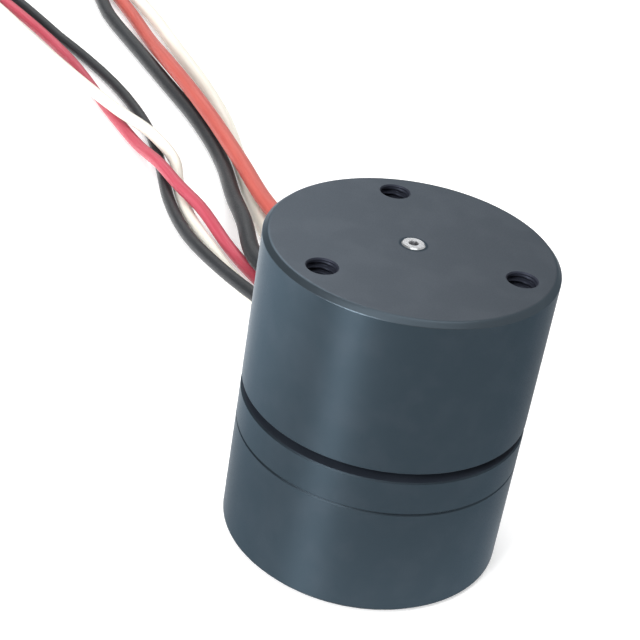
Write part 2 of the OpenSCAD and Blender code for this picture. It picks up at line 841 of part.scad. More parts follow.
module board_components() {
    color(insulator_white) for (place = component_places) {
        translate([place[0], place[1], 0]) block(component_size, board_top);
    }
    color(chip_black) translate([regulator_place[0], regulator_place[1], 0])
        block(regulator_size, board_top);
}

module board_screws() {
    color(bright_steel) for (a = post_turns) {
        rotate([0, 0, a]) translate([post_circle_r, 0, 0]) difference() {
            union() {
                translate([0, 0, board_z - board_screw_bite])
                    cylinder(d = board_screw_d, h = board_screw_bite + board_t + cut);
                translate([0, 0, board_top]) cylinder(d = board_screw_head_d, h = board_screw_head_h);
            }
            translate([0, 0, board_top + board_screw_head_h / 2])
                cylinder(d = board_screw_key_d, h = board_screw_head_h, $fn = 6);
        }
    }
}

// Leads: grommet, tails inside the motor, free leads and plugs

module grommet_body() {
    inside_r = cavity_r - grommet_flange;
    outside_r = body_r + grommet_flange;
    neck_h = grommet_high - grommet_low - 2 * locate;
    // Neck that fills the window in the wall
    intersection() {
        translate([0, body_r, 0])
            block([grommet_w - 2 * locate, 4 * housing_wall, neck_h], grommet_low + locate);
        ring(outside_r, inside_r, housing_h, 0);
    }
    // Flanges that hold the wall between them
    intersection() {
        window_prism(grommet_edge, 0, grommet_face);
        union() {
            ring(outside_r, body_r + slip, housing_h, 0);
            ring(cavity_r - slip, inside_r, housing_h, 0);
        }
    }
    // Snout that the leads come out of
    difference() {
        window_prism(0, cavity_r, grommet_face);
        translate([0, 0, -cut]) cylinder(r = body_r + grommet_flange / 2, h = housing_h + 2 * cut);
    }
}

module lead_bore(x, z, r) {
    translate([x, grommet_face + cut, z]) rotate([quarter, 0, 0]) cylinder(r = r, h = grommet_face);
}

module lead_grommet() {
    color(rubber_black) difference() {
        grommet_body();
        for (x = lead_places) {
            lead_bore(x, phase_row_z, phase_lead_r + slip);
            lead_bore(x, sensor_row_z, sensor_lead_r + slip);
        }
    }
}

// Phase lead inside the motor, from the grommet's neck up through the band to the windings
module phase_tail(x) {
    bend_y = tail_y + tail_bend_r;
    translate([x, tail_end_y, phase_row_z]) rotate([quarter, 0, 0])
        cylinder(r = phase_lead_r, h = tail_end_y - bend_y);
    translate([x, bend_y, phase_row_z + tail_bend_r]) rotate([0, quarter, 0]) rotate([0, 0, -quarter])
        rotate_extrude(angle = quarter) translate([tail_bend_r, 0]) circle(r = phase_lead_r);
    translate([x, tail_y, phase_row_z + tail_bend_r])
        cylinder(r = phase_lead_r, h = tail_top - phase_row_z - tail_bend_r);
}

module phase_lead_tails() {
    tones = [lead_black, lead_white, lead_red];
    for (i = [0 : len(lead_places) - 1]) {
        color(tones[i]) phase_tail(lead_places[i]);
    }
}

// Sensor lead inside the motor, with its soldered joint on the board
module sensor_tail(x) {
    translate([x, tail_end_y, sensor_row_z]) rotate([quarter, 0, 0])
        cylinder(r = sensor_lead_r, h = tail_end_y - joint_y - joint_high_r);
    translate([x, joint_y, board_top])
        cylinder(r1 = joint_low_r, r2 = joint_high_r, h = sensor_row_z - board_top + joint_high_r);
}

module sensor_lead_tails() {
    tones = [lead_black, lead_red, lead_white];
    for (i = [0 : len(lead_places) - 1]) {
        color(tones[i]) sensor_tail(lead_places[i]);
    }
}

// Sweep of a round lead along a route of points, with one ring of corners at each point
function unit(v) = v / norm(v);
function heading(angle) = [cos(angle), sin(angle), 0];
function along(route, i) = unit(route[min(i + 1, len(route) - 1)] - route[max(i - 1, 0)]);
function sideways(t) = unit(cross(t, [0, 0, 1]));
function lead_ring(route, i, r) = let (t = along(route, i), s = sideways(t), u = cross(s, t)) [
    for (k = [0 : lead_sides - 1])
        let (a = turn * (k + 0.5) / lead_sides) route[i] + r * (cos(a) * s + sin(a) * u)
];
function wall_faces(rings) = [
    for (i = [0 : rings - 2], k = [0 : lead_sides - 1])
        let (a = i * lead_sides + k, b = i * lead_sides + (k + 1) % lead_sides)
            each [[a, a + lead_sides, b], [b, a + lead_sides, b + lead_sides]]
];

module free_lead(route, r) {
    rings = len(route);
    last = (rings - 1) * lead_sides;
    polyhedron(
        points = [for (i = [0 : rings - 1]) each lead_ring(route, i, r)],
        faces = concat(
            wall_faces(rings),
            [[for (k = [0 : lead_sides - 1]) k]],
            [[for (k = [lead_sides - 1 : -1 : 0]) last + k]]
        )
    );
}

// Route with its straight ends: out through the grommet at place x, and up to cell n of its plug
function whole_route(x, z, route, at, angle, pitch, n, h) = let (
    mouth = [at[0], at[1], h / 2] - n * pitch * sideways(heading(angle))
) concat(
    [[x, tail_end_y, z], [x, grommet_face + straight_run, z]], route,
    [mouth - straight_run * heading(angle), mouth]
);
function phase_route(i, route, n) = whole_route(
    lead_places[i], phase_row_z, route,
    phase_plug_at, phase_plug_heading, phase_plug_pitch, n, phase_plug_h
);
function sensor_route(i, route, n) = whole_route(
    lead_places[i], sensor_row_z, route,
    sensor_plug_at, sensor_plug_heading, sensor_plug_pitch, n, sensor_plug_h
);

module phase_lead_red() {
    color(lead_red) free_lead(phase_route(2, phase_red_route, 0), phase_lead_r);
}

module phase_lead_white() {
    color(lead_white) free_lead(phase_route(1, phase_white_route, -1), phase_lead_r);
}

module phase_lead_black() {
    color(lead_black) free_lead(phase_route(0, phase_black_route, 1), phase_lead_r);
}

module sensor_lead_red() {
    color(lead_red) free_lead(sensor_route(2, sensor_red_route, 0), sensor_lead_r);
}

module sensor_lead_white() {
    color(lead_white) free_lead(sensor_route(1, sensor_white_route, 1), sensor_lead_r);
}

module sensor_lead_black() {
    color(lead_black) free_lead(sensor_route(0, sensor_black_route, -1), sensor_lead_r);
}

// Children moved from a plug's own axes, with X ahead, to its place on the table
module at_plug(place, angle) {
    translate([place[0], place[1], 0]) rotate([0, 0, angle]) children();
}

// Three-way plug lying flat: a shell with a cell for each contact and a window over it
module plug_shell(pitch, l, h) {
    cell_w = contact_w + 2 * contact_play;
    w = 3 * pitch + 2 * (plug_side - pitch / 2);
    difference() {
        translate([0, -w / 2, 0]) cube([l, w, h]);
        for (n = [-1 : 1]) {
            translate([contact_inset, n * pitch - cell_w / 2, (h - cell_w) / 2]) cube([l, cell_w, cell_w]);
            translate([l / 3, n * pitch - cell_w / 2, h / 2]) cube([l / 4, cell_w, h]);
        }
    }
}

// Contacts of such a plug, each lying on the floor of its cell
module plug_contacts(pitch, l, h) {
    for (n = [-1 : 1]) {
        translate([contact_inset + locate, n * pitch - contact_w / 2, h / 2 - contact_w / 2 - contact_play])
            cube([l - 2 * contact_inset, contact_w, contact_w]);
    }
}

module phase_plug() {
    color(chip_black) at_plug(phase_plug_at, phase_plug_heading)
        plug_shell(phase_plug_pitch, phase_plug_l, phase_plug_h);
}

module phase_plug_contacts() {
    color(gold) at_plug(phase_plug_at, phase_plug_heading)
        plug_contacts(phase_plug_pitch, phase_plug_l, phase_plug_h);
}

module sensor_plug() {
    color(insulator_white) at_plug(sensor_plug_at, sensor_plug_heading)
        plug_shell(sensor_plug_pitch, sensor_plug_l, sensor_plug_h);
}

module sensor_plug_contacts() {
    color(gold) at_plug(sensor_plug_at, sensor_plug_heading)
        plug_contacts(sensor_plug_pitch, sensor_plug_l, sensor_plug_h);
}

rotor_bell();
flux_ring();
rotor_magnets();
motor_shaft();
shaft_shim();
upper_bearing_inner_race();
upper_bearing_balls();
upper_bearing_cage();
upper_bearing_outer_race();
upper_bearing_shields();
lower_bearing_inner_race();
lower_bearing_balls();
lower_bearing_cage();
lower_bearing_outer_race();
lower_bearing_shields();
spring_washer();
retaining_clip();
stator_base();
stator_core();
upper_insulator();
lower_insulator();
winding_phase_a();
winding_phase_b();
winding_phase_c();
rear_housing();
housing_screws();
magnet_holder();
encoder_magnet();
encoder_board();
encoder_chip();
board_components();
board_screws();
lead_grommet();
phase_lead_tails();
sensor_lead_tails();
phase_lead_red();
phase_lead_white();
phase_lead_black();
sensor_lead_red();
sensor_lead_white();
sensor_lead_black();
phase_plug();
phase_plug_contacts();
sensor_plug();
sensor_plug_contacts();
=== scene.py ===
"""Gimbal motor with a built-in encoder, dressed and lit for its picture.

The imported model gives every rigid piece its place. This script gives each piece its finish, lays
finer surfaces over the bell, the windings, the leads, the grommet and the plugs, and sets up the
floor, the lamps and the camera. Shapes are in millimetres until they reach a mesh, which is in
metres, and a finish's own sizes are in metres. The shaft is the Z axis, zero is the mounting face,
and the leads leave along +Y.
"""

from __future__ import annotations

import logging
import math
from dataclasses import dataclass, field
from enum import Enum
from typing import Protocol

import bmesh
import bpy
import numpy as np
from mathutils import Matrix
from numpy.typing import NDArray

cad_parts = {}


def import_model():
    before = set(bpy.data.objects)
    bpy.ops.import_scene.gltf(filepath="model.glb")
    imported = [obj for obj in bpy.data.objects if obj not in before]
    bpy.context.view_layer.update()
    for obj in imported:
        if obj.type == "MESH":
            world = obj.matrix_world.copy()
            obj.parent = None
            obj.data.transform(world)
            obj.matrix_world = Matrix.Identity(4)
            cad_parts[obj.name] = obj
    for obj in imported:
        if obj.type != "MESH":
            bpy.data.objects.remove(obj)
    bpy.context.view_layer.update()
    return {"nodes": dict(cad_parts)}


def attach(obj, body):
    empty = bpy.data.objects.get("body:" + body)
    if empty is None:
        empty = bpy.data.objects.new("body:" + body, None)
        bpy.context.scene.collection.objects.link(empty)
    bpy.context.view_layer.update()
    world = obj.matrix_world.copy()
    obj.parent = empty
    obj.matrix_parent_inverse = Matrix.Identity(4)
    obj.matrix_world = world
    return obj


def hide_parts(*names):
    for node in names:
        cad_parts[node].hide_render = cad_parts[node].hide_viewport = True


Array = NDArray[np.float64]
Point = tuple[float, float, float]
Colour = tuple[float, float, float]
Rims = tuple[Point, ...]
Socket = bpy.types.NodeSocket
Sockets = bpy.types.bpy_prop_collection
Piece = bpy.types.Object
Value = Socket | float | Colour
Inputs = dict[str | int, Value]

LOG = logging.getLogger("gimbal_motor")
MM = 0.001
FULL_TURN = 2 * math.pi
QUARTER_TURN = math.pi / 2
WELD = 1e-7
SLIVER = 1e-8
SHARP = 32.0


# Surfaces


@dataclass
class Surface:
    """Corner points in millimetres, and the faces and map coordinates that go with them."""

    points: Array
    faces: list[tuple[int, ...]]
    uv: Array | None = None

    @classmethod
    def over(cls, rings: Array, capped: bool = False, uv: Array | None = None) -> "Surface":
        """Cover rows of closed rings with four-sided faces.

        Args:
            rings: rows by points by three coordinates; the last point of a row joins its first.
            capped: whether a face closes each end.
            uv: the map coordinates of the same points.

        Returns:
            The surface.
        """
        rows, count = rings.shape[:2]
        row, column = np.meshgrid(np.arange(rows - 1), np.arange(count), indexing="ij")
        near, far, after = row * count, (row + 1) * count, (column + 1) % count
        quads = np.stack([near + column, near + after, far + after, far + column], axis=-1)
        faces = [tuple(quad) for quad in quads.reshape(-1, 4).tolist()]
        if capped:
            last = (rows - 1) * count
            faces += [tuple(range(count - 1, -1, -1)), tuple(range(last, last + count))]
        return cls(rings.reshape(-1, 3), faces, None if uv is None else uv.reshape(-1, 2))

    def placed(self, degrees: float = 0.0, shift: Point = (0.0, 0.0, 0.0)) -> "Surface":
        """Return the surface without its map, turned about the Z axis and then shifted."""
        return Surface(self.points @ turned_z(degrees).T + shift, self.faces)


def joined(parts: list[Surface]) -> Surface:
    """Return several surfaces as one, without their maps."""
    starts = np.cumsum([0, *(len(part.points) for part in parts)]).tolist()
    faces = [tuple(i + start for i in face) for part, start in zip(parts, starts) for face in part.faces]
    return Surface(np.vstack([part.points for part in parts]), faces)


def turned_z(degrees: float) -> Array:
    """Return the matrix of a turn about the Z axis."""
    c, s = math.cos(math.radians(degrees)), math.sin(math.radians(degrees))
    return np.array([[c, -s, 0.0], [s, c, 0.0], [0.0, 0.0, 1.0]])


def lengths_along(path: Array) -> Array:
    """Return the length along a path up to each of its points."""
    return np.concatenate([[0.0], np.cumsum(np.linalg.norm(np.diff(path, axis=0), axis=1))])


def revolve(profile: Array, sides: int, closed: bool = False) -> Surface:
    """Turn a profile round the Z axis: its point (r, z) at angle a is (r cos a, r sin a, z).

    Args:
        profile: radius and height of each point, from the bottom outside upwards and inwards.
        sides: number of flats round the axis.
        closed: whether the profile's last point joins its first.

    Returns:
        The turned surface.
    """
    loop = np.vstack([profile, profile[:1]]) if closed else profile
    angle = np.linspace(0.0, FULL_TURN, sides, endpoint=False)
    radius, z = loop[:, 0, None], np.broadcast_to(loop[:, 1, None], (len(loop), sides))
    return Surface.over(np.stack([radius * np.cos(angle), radius * np.sin(angle), z], axis=-1))


def rounded(corners: Array, radii: Array, steps: int, support: float = 1.6) -> Array:
    """Round the corners of a closed outline.

    Each corner becomes a quadratic curve between the points at its radius along both edges, which
    is (1-t)^2 A + 2 t (1-t) corner + t^2 B. A point further out on each edge keeps the flats flat.

    Args:
        corners: the outline's corners, two columns.
        radii: how far along its edges each corner's curve starts.
        steps: number of spans in a curve.
        support: where the further points are, in radii.

    Returns:
        The rounded outline.
    """
    before, after = (np.roll(corners, way, axis=0) - corners for way in (1, -1))
    back, ahead = (
        edge / np.linalg.norm(edge, axis=1, keepdims=True) * radii[:, None] for edge in (before, after)
    )
    start, end = (corners + back)[:, None], (corners + ahead)[:, None]
    t = np.linspace(0.0, 1.0, steps + 1)[None, :, None]
    curve = (1 - t) ** 2 * start + 2 * t * (1 - t) * corners[:, None] + t**2 * end
    first, last = (corners + back * support)[:, None], (corners + ahead * support)[:, None]
    return np.concatenate([first, curve, last], axis=1).reshape(-1, 2)


def smooth_route(points: Array, spans: int) -> Array:
    """Pass one smooth curve through a route's points.

    Between two points it is the cubic Hermite curve whose slopes are the chords between their
    neighbours, divided by the length along the route.

    Args:
        points: the route's points.
        spans: number of straight spans between two of them.

    Returns:
        The points of the curve.
    """
    slope = np.gradient(points, lengths_along(points), axis=0)
    run = np.linalg.norm(np.diff(points, axis=0), axis=1)[:, None, None]
    t = np.linspace(0.0, 1.0, spans, endpoint=False)[None, :, None]
    curve = (
        (2 * t**3 - 3 * t**2 + 1) * points[:-1, None]
        + (t**3 - 2 * t**2 + t) * run * slope[:-1, None]
        + (3 * t**2 - 2 * t**3) * points[1:, None]
        + (t**3 - t**2) * run * slope[1:, None]
    )
    return np.vstack([curve.reshape(-1, 3), points[-1:]])


def tube(path: Array, radius: float, sides: int, level: Point) -> Surface:
    """Carry a circle along a path, with its ends closed.

    Each ring lies across the path's direction d, in the plane of s = d x level and u = s x d.

    Args:
        path: the centreline, which never runs along the level direction.
        radius: the tube's radius.
        sides: number of flats round it.
        level: the direction that the rings are measured from.

    Returns:
        The tube, with the length along it and the share of a turn as its map.
    """
    heading = np.gradient(path, axis=0)
    heading /= np.linalg.norm(heading, axis=1, keepdims=True)
    side = np.cross(heading, level)
    side /= np.linalg.norm(side, axis=1, keepdims=True)
    upward = np.cross(side, heading)
    angle = np.linspace(0.0, FULL_TURN, sides, endpoint=False)[None, :, None]
    rings = path[:, None] + radius * (np.cos(angle) * side[:, None] + np.sin(angle) * upward[:, None])
    uv = np.broadcast_arrays(lengths_along(path)[:, None], angle[:, :, 0] / FULL_TURN)
    return Surface.over(rings, capped=True, uv=np.stack(uv, axis=-1))


def loft(outline: Array, stations: Array, shrink: Array) -> Surface:
    """Carry an outline in the Y-Z plane along X, drawn in at each station, with closed ends.

    Args:
        outline: the outline's points, two columns.
        stations: place of each section along X.
        shrink: how far each section's outline is drawn in towards its middle.

    Returns:
        The closed body.
    """
    low, high = outline.min(axis=0), outline.max(axis=0)
    middle = (low + high) / 2
    scale = 1 - shrink[:, None] / ((high - low) / 2)
    sections = middle + (outline - middle) * scale[:, None]
    x = np.broadcast_to(stations[:, None, None], (len(stations), len(outline), 1))
    return Surface.over(np.concatenate([x, sections], axis=-1), capped=True)


def box(low: Point, high: Point) -> Surface:
    """Make a closed block between two opposite corners.

    Args:
        low: its lowest corner.
        high: its highest corner.

    Returns:
        The block.
    """
    pick = np.array([[x, y, z] for z in (0, 1) for y in (0, 1) for x in (0, 1)])
    faces = [(0, 2, 3, 1), (4, 5, 7, 6), (0, 1, 5, 4), (2, 6, 7, 3), (0, 4, 6, 2), (1, 3, 7, 5)]
    return Surface(np.where(pick == 1, high, low).astype(float), faces)


# Objects and meshes


def link(name: str, data: bpy.types.ID) -> Piece:
    """Put a mesh, a lamp's or a camera's data into the scene as an object at the origin."""
    thing = bpy.data.objects.new(name, data)
    bpy.context.scene.collection.objects.link(thing)
    return thing


def pose(*columns: Array | Point) -> Matrix:
    """Return the matrix whose columns are three axes and a place, given side by side."""
    matrix = np.eye(4)
    matrix[:3] = np.column_stack(columns)
    return Matrix(matrix.tolist())


def settle(mesh: bpy.types.Mesh, crease: float) -> None:
    """Shade a mesh smooth, with the edges past an angle in degrees left sharp."""
    mesh.polygons.foreach_set("use_smooth", np.ones(len(mesh.polygons), dtype=bool))
    mesh.set_sharp_from_angle(angle=math.radians(crease))
    mesh.update()


def weld(mesh: bpy.types.Mesh, new: bool) -> None:
    """Merge a mesh's doubled points.

    Args:
        mesh: the mesh to change.
        new: whether it is a new surface, whose faces are turned outwards, or else a copy of a
            node's triangles, whose empty ones are dropped.
    """
    edit = bmesh.new()
    edit.from_mesh(mesh)
    bmesh.ops.remove_doubles(edit, verts=edit.verts, dist=WELD)
    if new:
        bmesh.ops.recalc_face_normals(edit, faces=edit.faces)
    else:
        bmesh.ops.dissolve_degenerate(edit, edges=edit.edges, dist=SLIVER)
    edit.to_mesh(mesh)
    edit.free()


def make_object(name: str, surface: Surface, crease: float = SHARP) -> Piece:
    """Put a surface into the scene as a smooth mesh with outward faces.

    Args:
        name: the object's name.
        surface: its shape, in millimetres.
        crease: the angle in degrees from which an edge stays sharp.

    Returns:
        The new object, at the origin.
    """
    mesh = bpy.data.meshes.new(name)
    mesh.from_pydata((surface.points * MM).tolist(), [], surface.faces)
    if surface.uv is not None:
        layer = mesh.uv_layers.new(name="along")
        corner = np.empty(len(mesh.loops), dtype=np.int32)
        mesh.loops.foreach_get("vertex_index", corner)
        layer.data.foreach_set("uv", surface.uv[corner].astype(np.float32).ravel())
    weld(mesh, new=True)
    settle(mesh, crease)
    return link(name, mesh)


def merged_copy(node: Piece, name: str, crease: float = 28.0) -> Piece:
    """Copy a CAD node, merge its loose triangles and shade the copy smooth.

    Args:
        node: the CAD node.
        name: the copy's name.
        crease: the angle in degrees from which an edge stays sharp.

    Returns:
        The copy, riding on nothing yet.
    """
    mesh = node.data.copy()
    mesh.name = name
    mesh.materials.clear()
    weld(mesh, new=False)
    if mesh.has_custom_normals:
        mesh.attributes.remove(mesh.attributes["custom_normal"])
    settle(mesh, crease)
    return link(name, mesh)


def carve(piece: Piece, cutters: list[Surface], crease: float = SHARP) -> None:
    """Cut closed surfaces out of a piece and keep the result as its mesh.

    Args:
        piece: the object to cut.
        cutters: what to take away.
        crease: the angle in degrees from which an edge stays sharp.
    """
    tools = [make_object(f"{piece.name}_cutter", cutter) for cutter in cutters]
    for tool in tools:
        modifier = piece.modifiers.new("cut", "BOOLEAN")
        modifier.operation, modifier.solver, modifier.object = "DIFFERENCE", "EXACT", tool
    bpy.context.view_layer.update()
    graph = bpy.context.evaluated_depsgraph_get()
    result = bpy.data.meshes.new_from_object(piece.evaluated_get(graph))
    piece.modifiers.clear()
    spent = [piece.data, *(tool.data for tool in tools)]
    piece.data = result
    for tool in tools:
        bpy.data.objects.remove(tool)
    for mesh in spent:
        bpy.data.meshes.remove(mesh)
    settle(result, crease)


def measure_faces(piece: Piece) -> tuple[Array, Array]:
    """Measure how each face of a piece lies.

    Args:
        piece: the object.

    Returns:
        The height share of each face's normal, and each face's middle in millimetres.
    """
    flat = np.empty(3 * len(piece.data.polygons), dtype=np.float32)
    piece.data.polygons.foreach_get("normal", flat)
    upward = flat.reshape(-1, 3)[:, 2].astype(float)
    piece.data.polygons.foreach_get("center", flat)
    return upward, flat.reshape(-1, 3).astype(float) / MM


# Shader graphs and the effects that several finishes share


class Graph:
    """Short calls that add and join the nodes of one shader tree."""

    def __init__(self, tree: bpy.types.NodeTree) -> None:
        """Keep the tree that the calls work on."""
        self.tree = tree

    def feed(self, target: Socket, value: Value) -> None:
        """Join a socket to another, or set its value.

        Args:
            target: the input to feed.
            value: the output that feeds it, or a number or colour to set.
        """
        if isinstance(value, bpy.types.NodeSocket):
            self.tree.links.new(value, target)
        elif isinstance(value, tuple) and target.type == "RGBA":
            target.default_value = (*value, 1.0)
        else:
            target.default_value = value

    def node(self, kind: str, inputs: Inputs, **settings: object) -> Sockets:
        """Add a node.

        Args:
            kind: the node's type.
            inputs: what feeds its inputs, by name or place.
            settings: its properties by name.

        Returns:
            Its outputs.
        """
        node = self.tree.nodes.new(kind)
        for name, value in settings.items():
            setattr(node, name, value)
        for name, value in inputs.items():
            self.feed(node.inputs[name], value)
        return node.outputs

    def math(self, operation: str, *values: Socket | float) -> Socket:
        """Add a Math node and return its result."""
        return self.node("ShaderNodeMath", dict(enumerate(values)), operation=operation)[0]

    def hypot(self, first: Socket, second: Socket) -> Socket:
        """Return the root of the sum of two squares."""
        squares = [self.math("MULTIPLY", value, value) for value in (first, second)]
        return self.math("SQRT", self.math("ADD", *squares))

    def remap(self, *values: Socket | float) -> Socket:
        """Map a value smoothly: it is given first, then the range it comes from and the one it goes to."""
        return self.node("ShaderNodeMapRange", dict(enumerate(values)), interpolation_type="SMOOTHSTEP")[0]

    def blend(self, share: Socket, first: Socket | Colour, second: Socket | Colour) -> Socket:
        """Mix two colours by a share and return the result."""
        return self.node("ShaderNodeMix", {0: share, 6: first, 7: second}, data_type="RGBA")[2]

    def parts(self, vector: Socket) -> Sockets:
        """Return a vector's three numbers."""
        return self.node("ShaderNodeSeparateXYZ", {0: vector})

    def vector(self, *numbers: Socket | float) -> Socket:
        """Return the vector of three numbers."""
        return self.node("ShaderNodeCombineXYZ", dict(enumerate(numbers)))[0]

    def along(self, place: Socket, way: Point) -> Socket:
        """Return how far a place lies along a direction."""
        return self.node("ShaderNodeVectorMath", {0: place, 1: way}, operation="DOT_PRODUCT")["Value"]

    def noise(self, vector: Socket, scale: float, detail: float) -> Socket:
        """Add a noise texture in three dimensions and return its value."""
        inputs = {"Vector": vector, "Scale": scale, "Detail": detail}
        return self.node("ShaderNodeTexNoise", inputs, noise_dimensions="3D")[0]

    def sized_noise(self, vector: Socket, size: Socket, detail: float) -> Socket:
        """Add a noise texture whose grains have a size, and return its value."""
        inputs = {0: vector, "Scale": self.math("DIVIDE", 1.0, size)}
        return self.noise(self.node("ShaderNodeVectorMath", inputs, operation="SCALE")[0], 1.0, detail)


# Parts of a noise's range that a mask or a roughness is spread over, and how a rim's painted shade fades

GRAIN_SPAN = (0.3, 0.7)
PATCH_SPAN = (0.42, 0.68)
RIM_FADE = (0.6, 1.0)
BREAKS_IN_METRE = 900.0
BREAK_SPAN = (0.3, 0.6)
BREAK_SHARE = (0.8, 1.0)


class Effect(Enum):
    """Surface effects that more than one finish uses: group name, output and number inputs."""

    TURNING = ("turning_lines", "Height", ("Spacing",))
    GRAIN = ("fine_grain", "Height", ("Size",))
    HANDLING = ("handling_marks", "Mask", ("Size", "Amount"))
    # RIM paints shade: a dark line along a round edge, or a dark dot on the axis.
    RIM = ("painted_rim_shade", "Mask", ("Radius", "Height", "Reach"))
    STREAKS = ("drawn_streaks", "Mask", ("Stretch", "Count"))


class Effects:
    """The shader node groups of the effects, each built once."""

    def __init__(self) -> None:
        """Start with no group built."""
        self._groups: dict[Effect, bpy.types.NodeTree] = {}

    def group(self, effect: Effect) -> bpy.types.NodeTree:
        """Return an effect's group, and build it the first time.

        Args:
            effect: which effect.

        Returns:
            The group, with a vector input, its number inputs and one output.
        """
        if effect not in self._groups:
            name, output, numbers = effect.value
            tree = bpy.data.node_groups.new(name, "ShaderNodeTree")
            tree.interface.new_socket("Vector", in_out="INPUT", socket_type="NodeSocketVector")
            for label in numbers:
                tree.interface.new_socket(label, in_out="INPUT", socket_type="NodeSocketFloat")
            tree.interface.new_socket(output, in_out="OUTPUT", socket_type="NodeSocketFloat")
            graph = Graph(tree)
            made = getattr(self, f"_{effect.name.lower()}")(graph, graph.node("NodeGroupInput", {}))
            graph.node("NodeGroupOutput", {0: made})
            self._groups[effect] = tree
        return self._groups[effect]

    @staticmethod
    def _turning(graph: Graph, given: Sockets) -> Socket:
        """Build lathe lines: noise along the radius plus the height, so faces and sides both get rings.

        Args:
            graph: the group's graph.
            given: what its input node gives.

        Returns:
            The height.
        """
        x, y, z = graph.parts(given["Vector"])
        along = graph.math("DIVIDE", graph.math("ADD", graph.hypot(x, y), z), given["Spacing"])
        inputs = {"W": along, "Scale": 1.0, "Detail": 2.0}
        return graph.node("ShaderNodeTexNoise", inputs, noise_dimensions="1D")[0]

    @staticmethod
    def _grain(graph: Graph, given: Sockets) -> Socket:
        """Build a fine even grain, as on blasted metal or moulded plastic."""
        return graph.sized_noise(given["Vector"], given["Size"], detail=3.0)

    @staticmethod
    def _handling(graph: Graph, given: Sockets) -> Socket:
        """Build broad soft patches, as left by handling and cleaning."""
        patches = graph.sized_noise(given["Vector"], given["Size"], detail=4.0)
        return graph.math("MULTIPLY", graph.remap(patches, *PATCH_SPAN, 0.0, 1.0), given["Amount"])

    @staticmethod
    def _rim(graph: Graph, given: Sockets) -> Socket:
        """Build the mask of painted shade along a round edge: 1 near the ring at a radius and height,
        slightly broken.

        Args:
            graph: the group's graph.
            given: what its input node gives.

        Returns:
            The mask.
        """
        x, y, z = graph.parts(given["Vector"])
        out = graph.math("SUBTRACT", graph.hypot(x, y), given["Radius"])
        gap = graph.hypot(out, graph.math("SUBTRACT", z, given["Height"]))
        near = graph.remap(graph.math("DIVIDE", gap, given["Reach"]), *RIM_FADE, 1.0, 0.0)
        breaks = graph.noise(given["Vector"], scale=BREAKS_IN_METRE, detail=5.0)
        return graph.math("MULTIPLY", near, graph.remap(breaks, *BREAK_SPAN, *BREAK_SHARE))

    @staticmethod
    def _streaks(graph: Graph, given: Sockets) -> Socket:
        """Build streaks along a drawn lead from its own map, with the length along it as U.

        Args:
            graph: the group's graph.
            given: what its input node gives.

        Returns:
            The mask.
        """
        along, around, _ = graph.parts(given["Vector"])
        angle = graph.math("MULTIPLY", around, FULL_TURN)
        ring = [graph.math("MULTIPLY", graph.math(way, angle), given["Count"]) for way in ("COSINE", "SINE")]
        place = graph.vector(graph.math("MULTIPLY", along, given["Stretch"]), *ring)
        return graph.remap(graph.noise(place, scale=1.0, detail=3.0), *GRAIN_SPAN, 0.0, 1.0)


class Coat(Graph):
    """The graph of one material, with its Principled shader and the effects that lie in it."""

    def __init__(self, effects: Effects, name: str, plain: dict[str, float | Colour]) -> None:
        """Make the material.

        Args:
            effects: the shared groups.
            name: the material's name.
            plain: the shader's values that are the same all over, by name.
        """
        self.effects = effects
        self.material = bpy.data.materials.new(name)
        self.material.use_nodes = True
        super().__init__(self.material.node_tree)
        self.shader = self.tree.nodes["Principled BSDF"].inputs
        self.coords = self.node("ShaderNodeTexCoord", {})["Object"]
        for label, value in plain.items():
            self.feed(self.shader[label], value)

    def effect(self, effect: Effect, vector: Socket | None = None, **values: float) -> Socket:
        """Put an effect into the material.

        Args:
            effect: which effect.
            vector: the coordinates that it follows, where they aren't the Object ones.
            values: its number inputs by name.

        Returns:
            The effect's mask or height, from 0 to 1.
        """
        inputs = {"Vector": self.coords if vector is None else vector, **values}
        return self.node("ShaderNodeGroup", inputs, node_tree=self.effects.group(effect))[0]

    def grained(self, grain: Socket, low: float, high: float) -> Socket:
        """Spread the middle of a grain's range over two values."""
        return self.remap(grain, *GRAIN_SPAN, low, high)

    def rimmed(self, colour: Socket, rims: Rims, dark: Colour) -> Socket:
        """Paint shade along round edges: darken a colour there.

        Args:
            colour: the colour to darken.
            rims: the radius, height and reach of each edge in mm; radius 0 makes a dot on the axis.
            dark: the colour at the edge.

        Returns:
            The darkened colour.
        """
        for radius, height, reach in rims:
            rim = self.effect(Effect.RIM, Radius=radius * MM, Height=height * MM, Reach=reach * MM)
            colour = self.blend(rim, colour, dark)
        return colour

    def finished(self, colour: Socket, rough: Socket, relief: Socket, depth: float) -> bpy.types.Material:
        """Feed the shader.

        Args:
            colour: the base colour.
            rough: the roughness.
            relief: the height that becomes a bump.
            depth: the depth in metres that a height of 1 stands for.

        Returns:
            The material.
        """
        bump = self.node("ShaderNodeBump", {"Strength": 1.0, "Distance": depth, "Height": relief})[0]
        for label, value in (("Base Color", colour), ("Roughness", rough), ("Normal", bump)):
            self.feed(self.shader[label], value)
        return self.material


# Finishes


class Skin(Enum):
    """The material slots that the finishes name."""

    ANODISED = "anodised_shell"
    POLISHED = "polished_steel"
    DULL = "dull_steel"
    MAGNET = "magnet_plating"
    LAMINATIONS = "laminations"
    COPPER = "copper_wire"
    BRASS = "brass"
    LIGHT_NYLON = "light_nylon"
    DARK_NYLON = "dark_nylon"
    BOARD = "circuit_board"
    RUBBER = "grommet_rubber"
    RED = "red_silicone"
    WHITE = "white_silicone"
    BLACK = "black_silicone"


def srgb(red: int, green: int, blue: int) -> Colour:
    """Turn a colour from 0 to 255, as seen on a screen, into the linear values that a shader takes."""
    shares = [value / 255 for value in (red, green, blue)]
    linear = [s / 12.92 if s <= 0.04045 else ((s + 0.055) / 1.055) ** 2.4 for s in shares]
    return (linear[0], linear[1], linear[2])


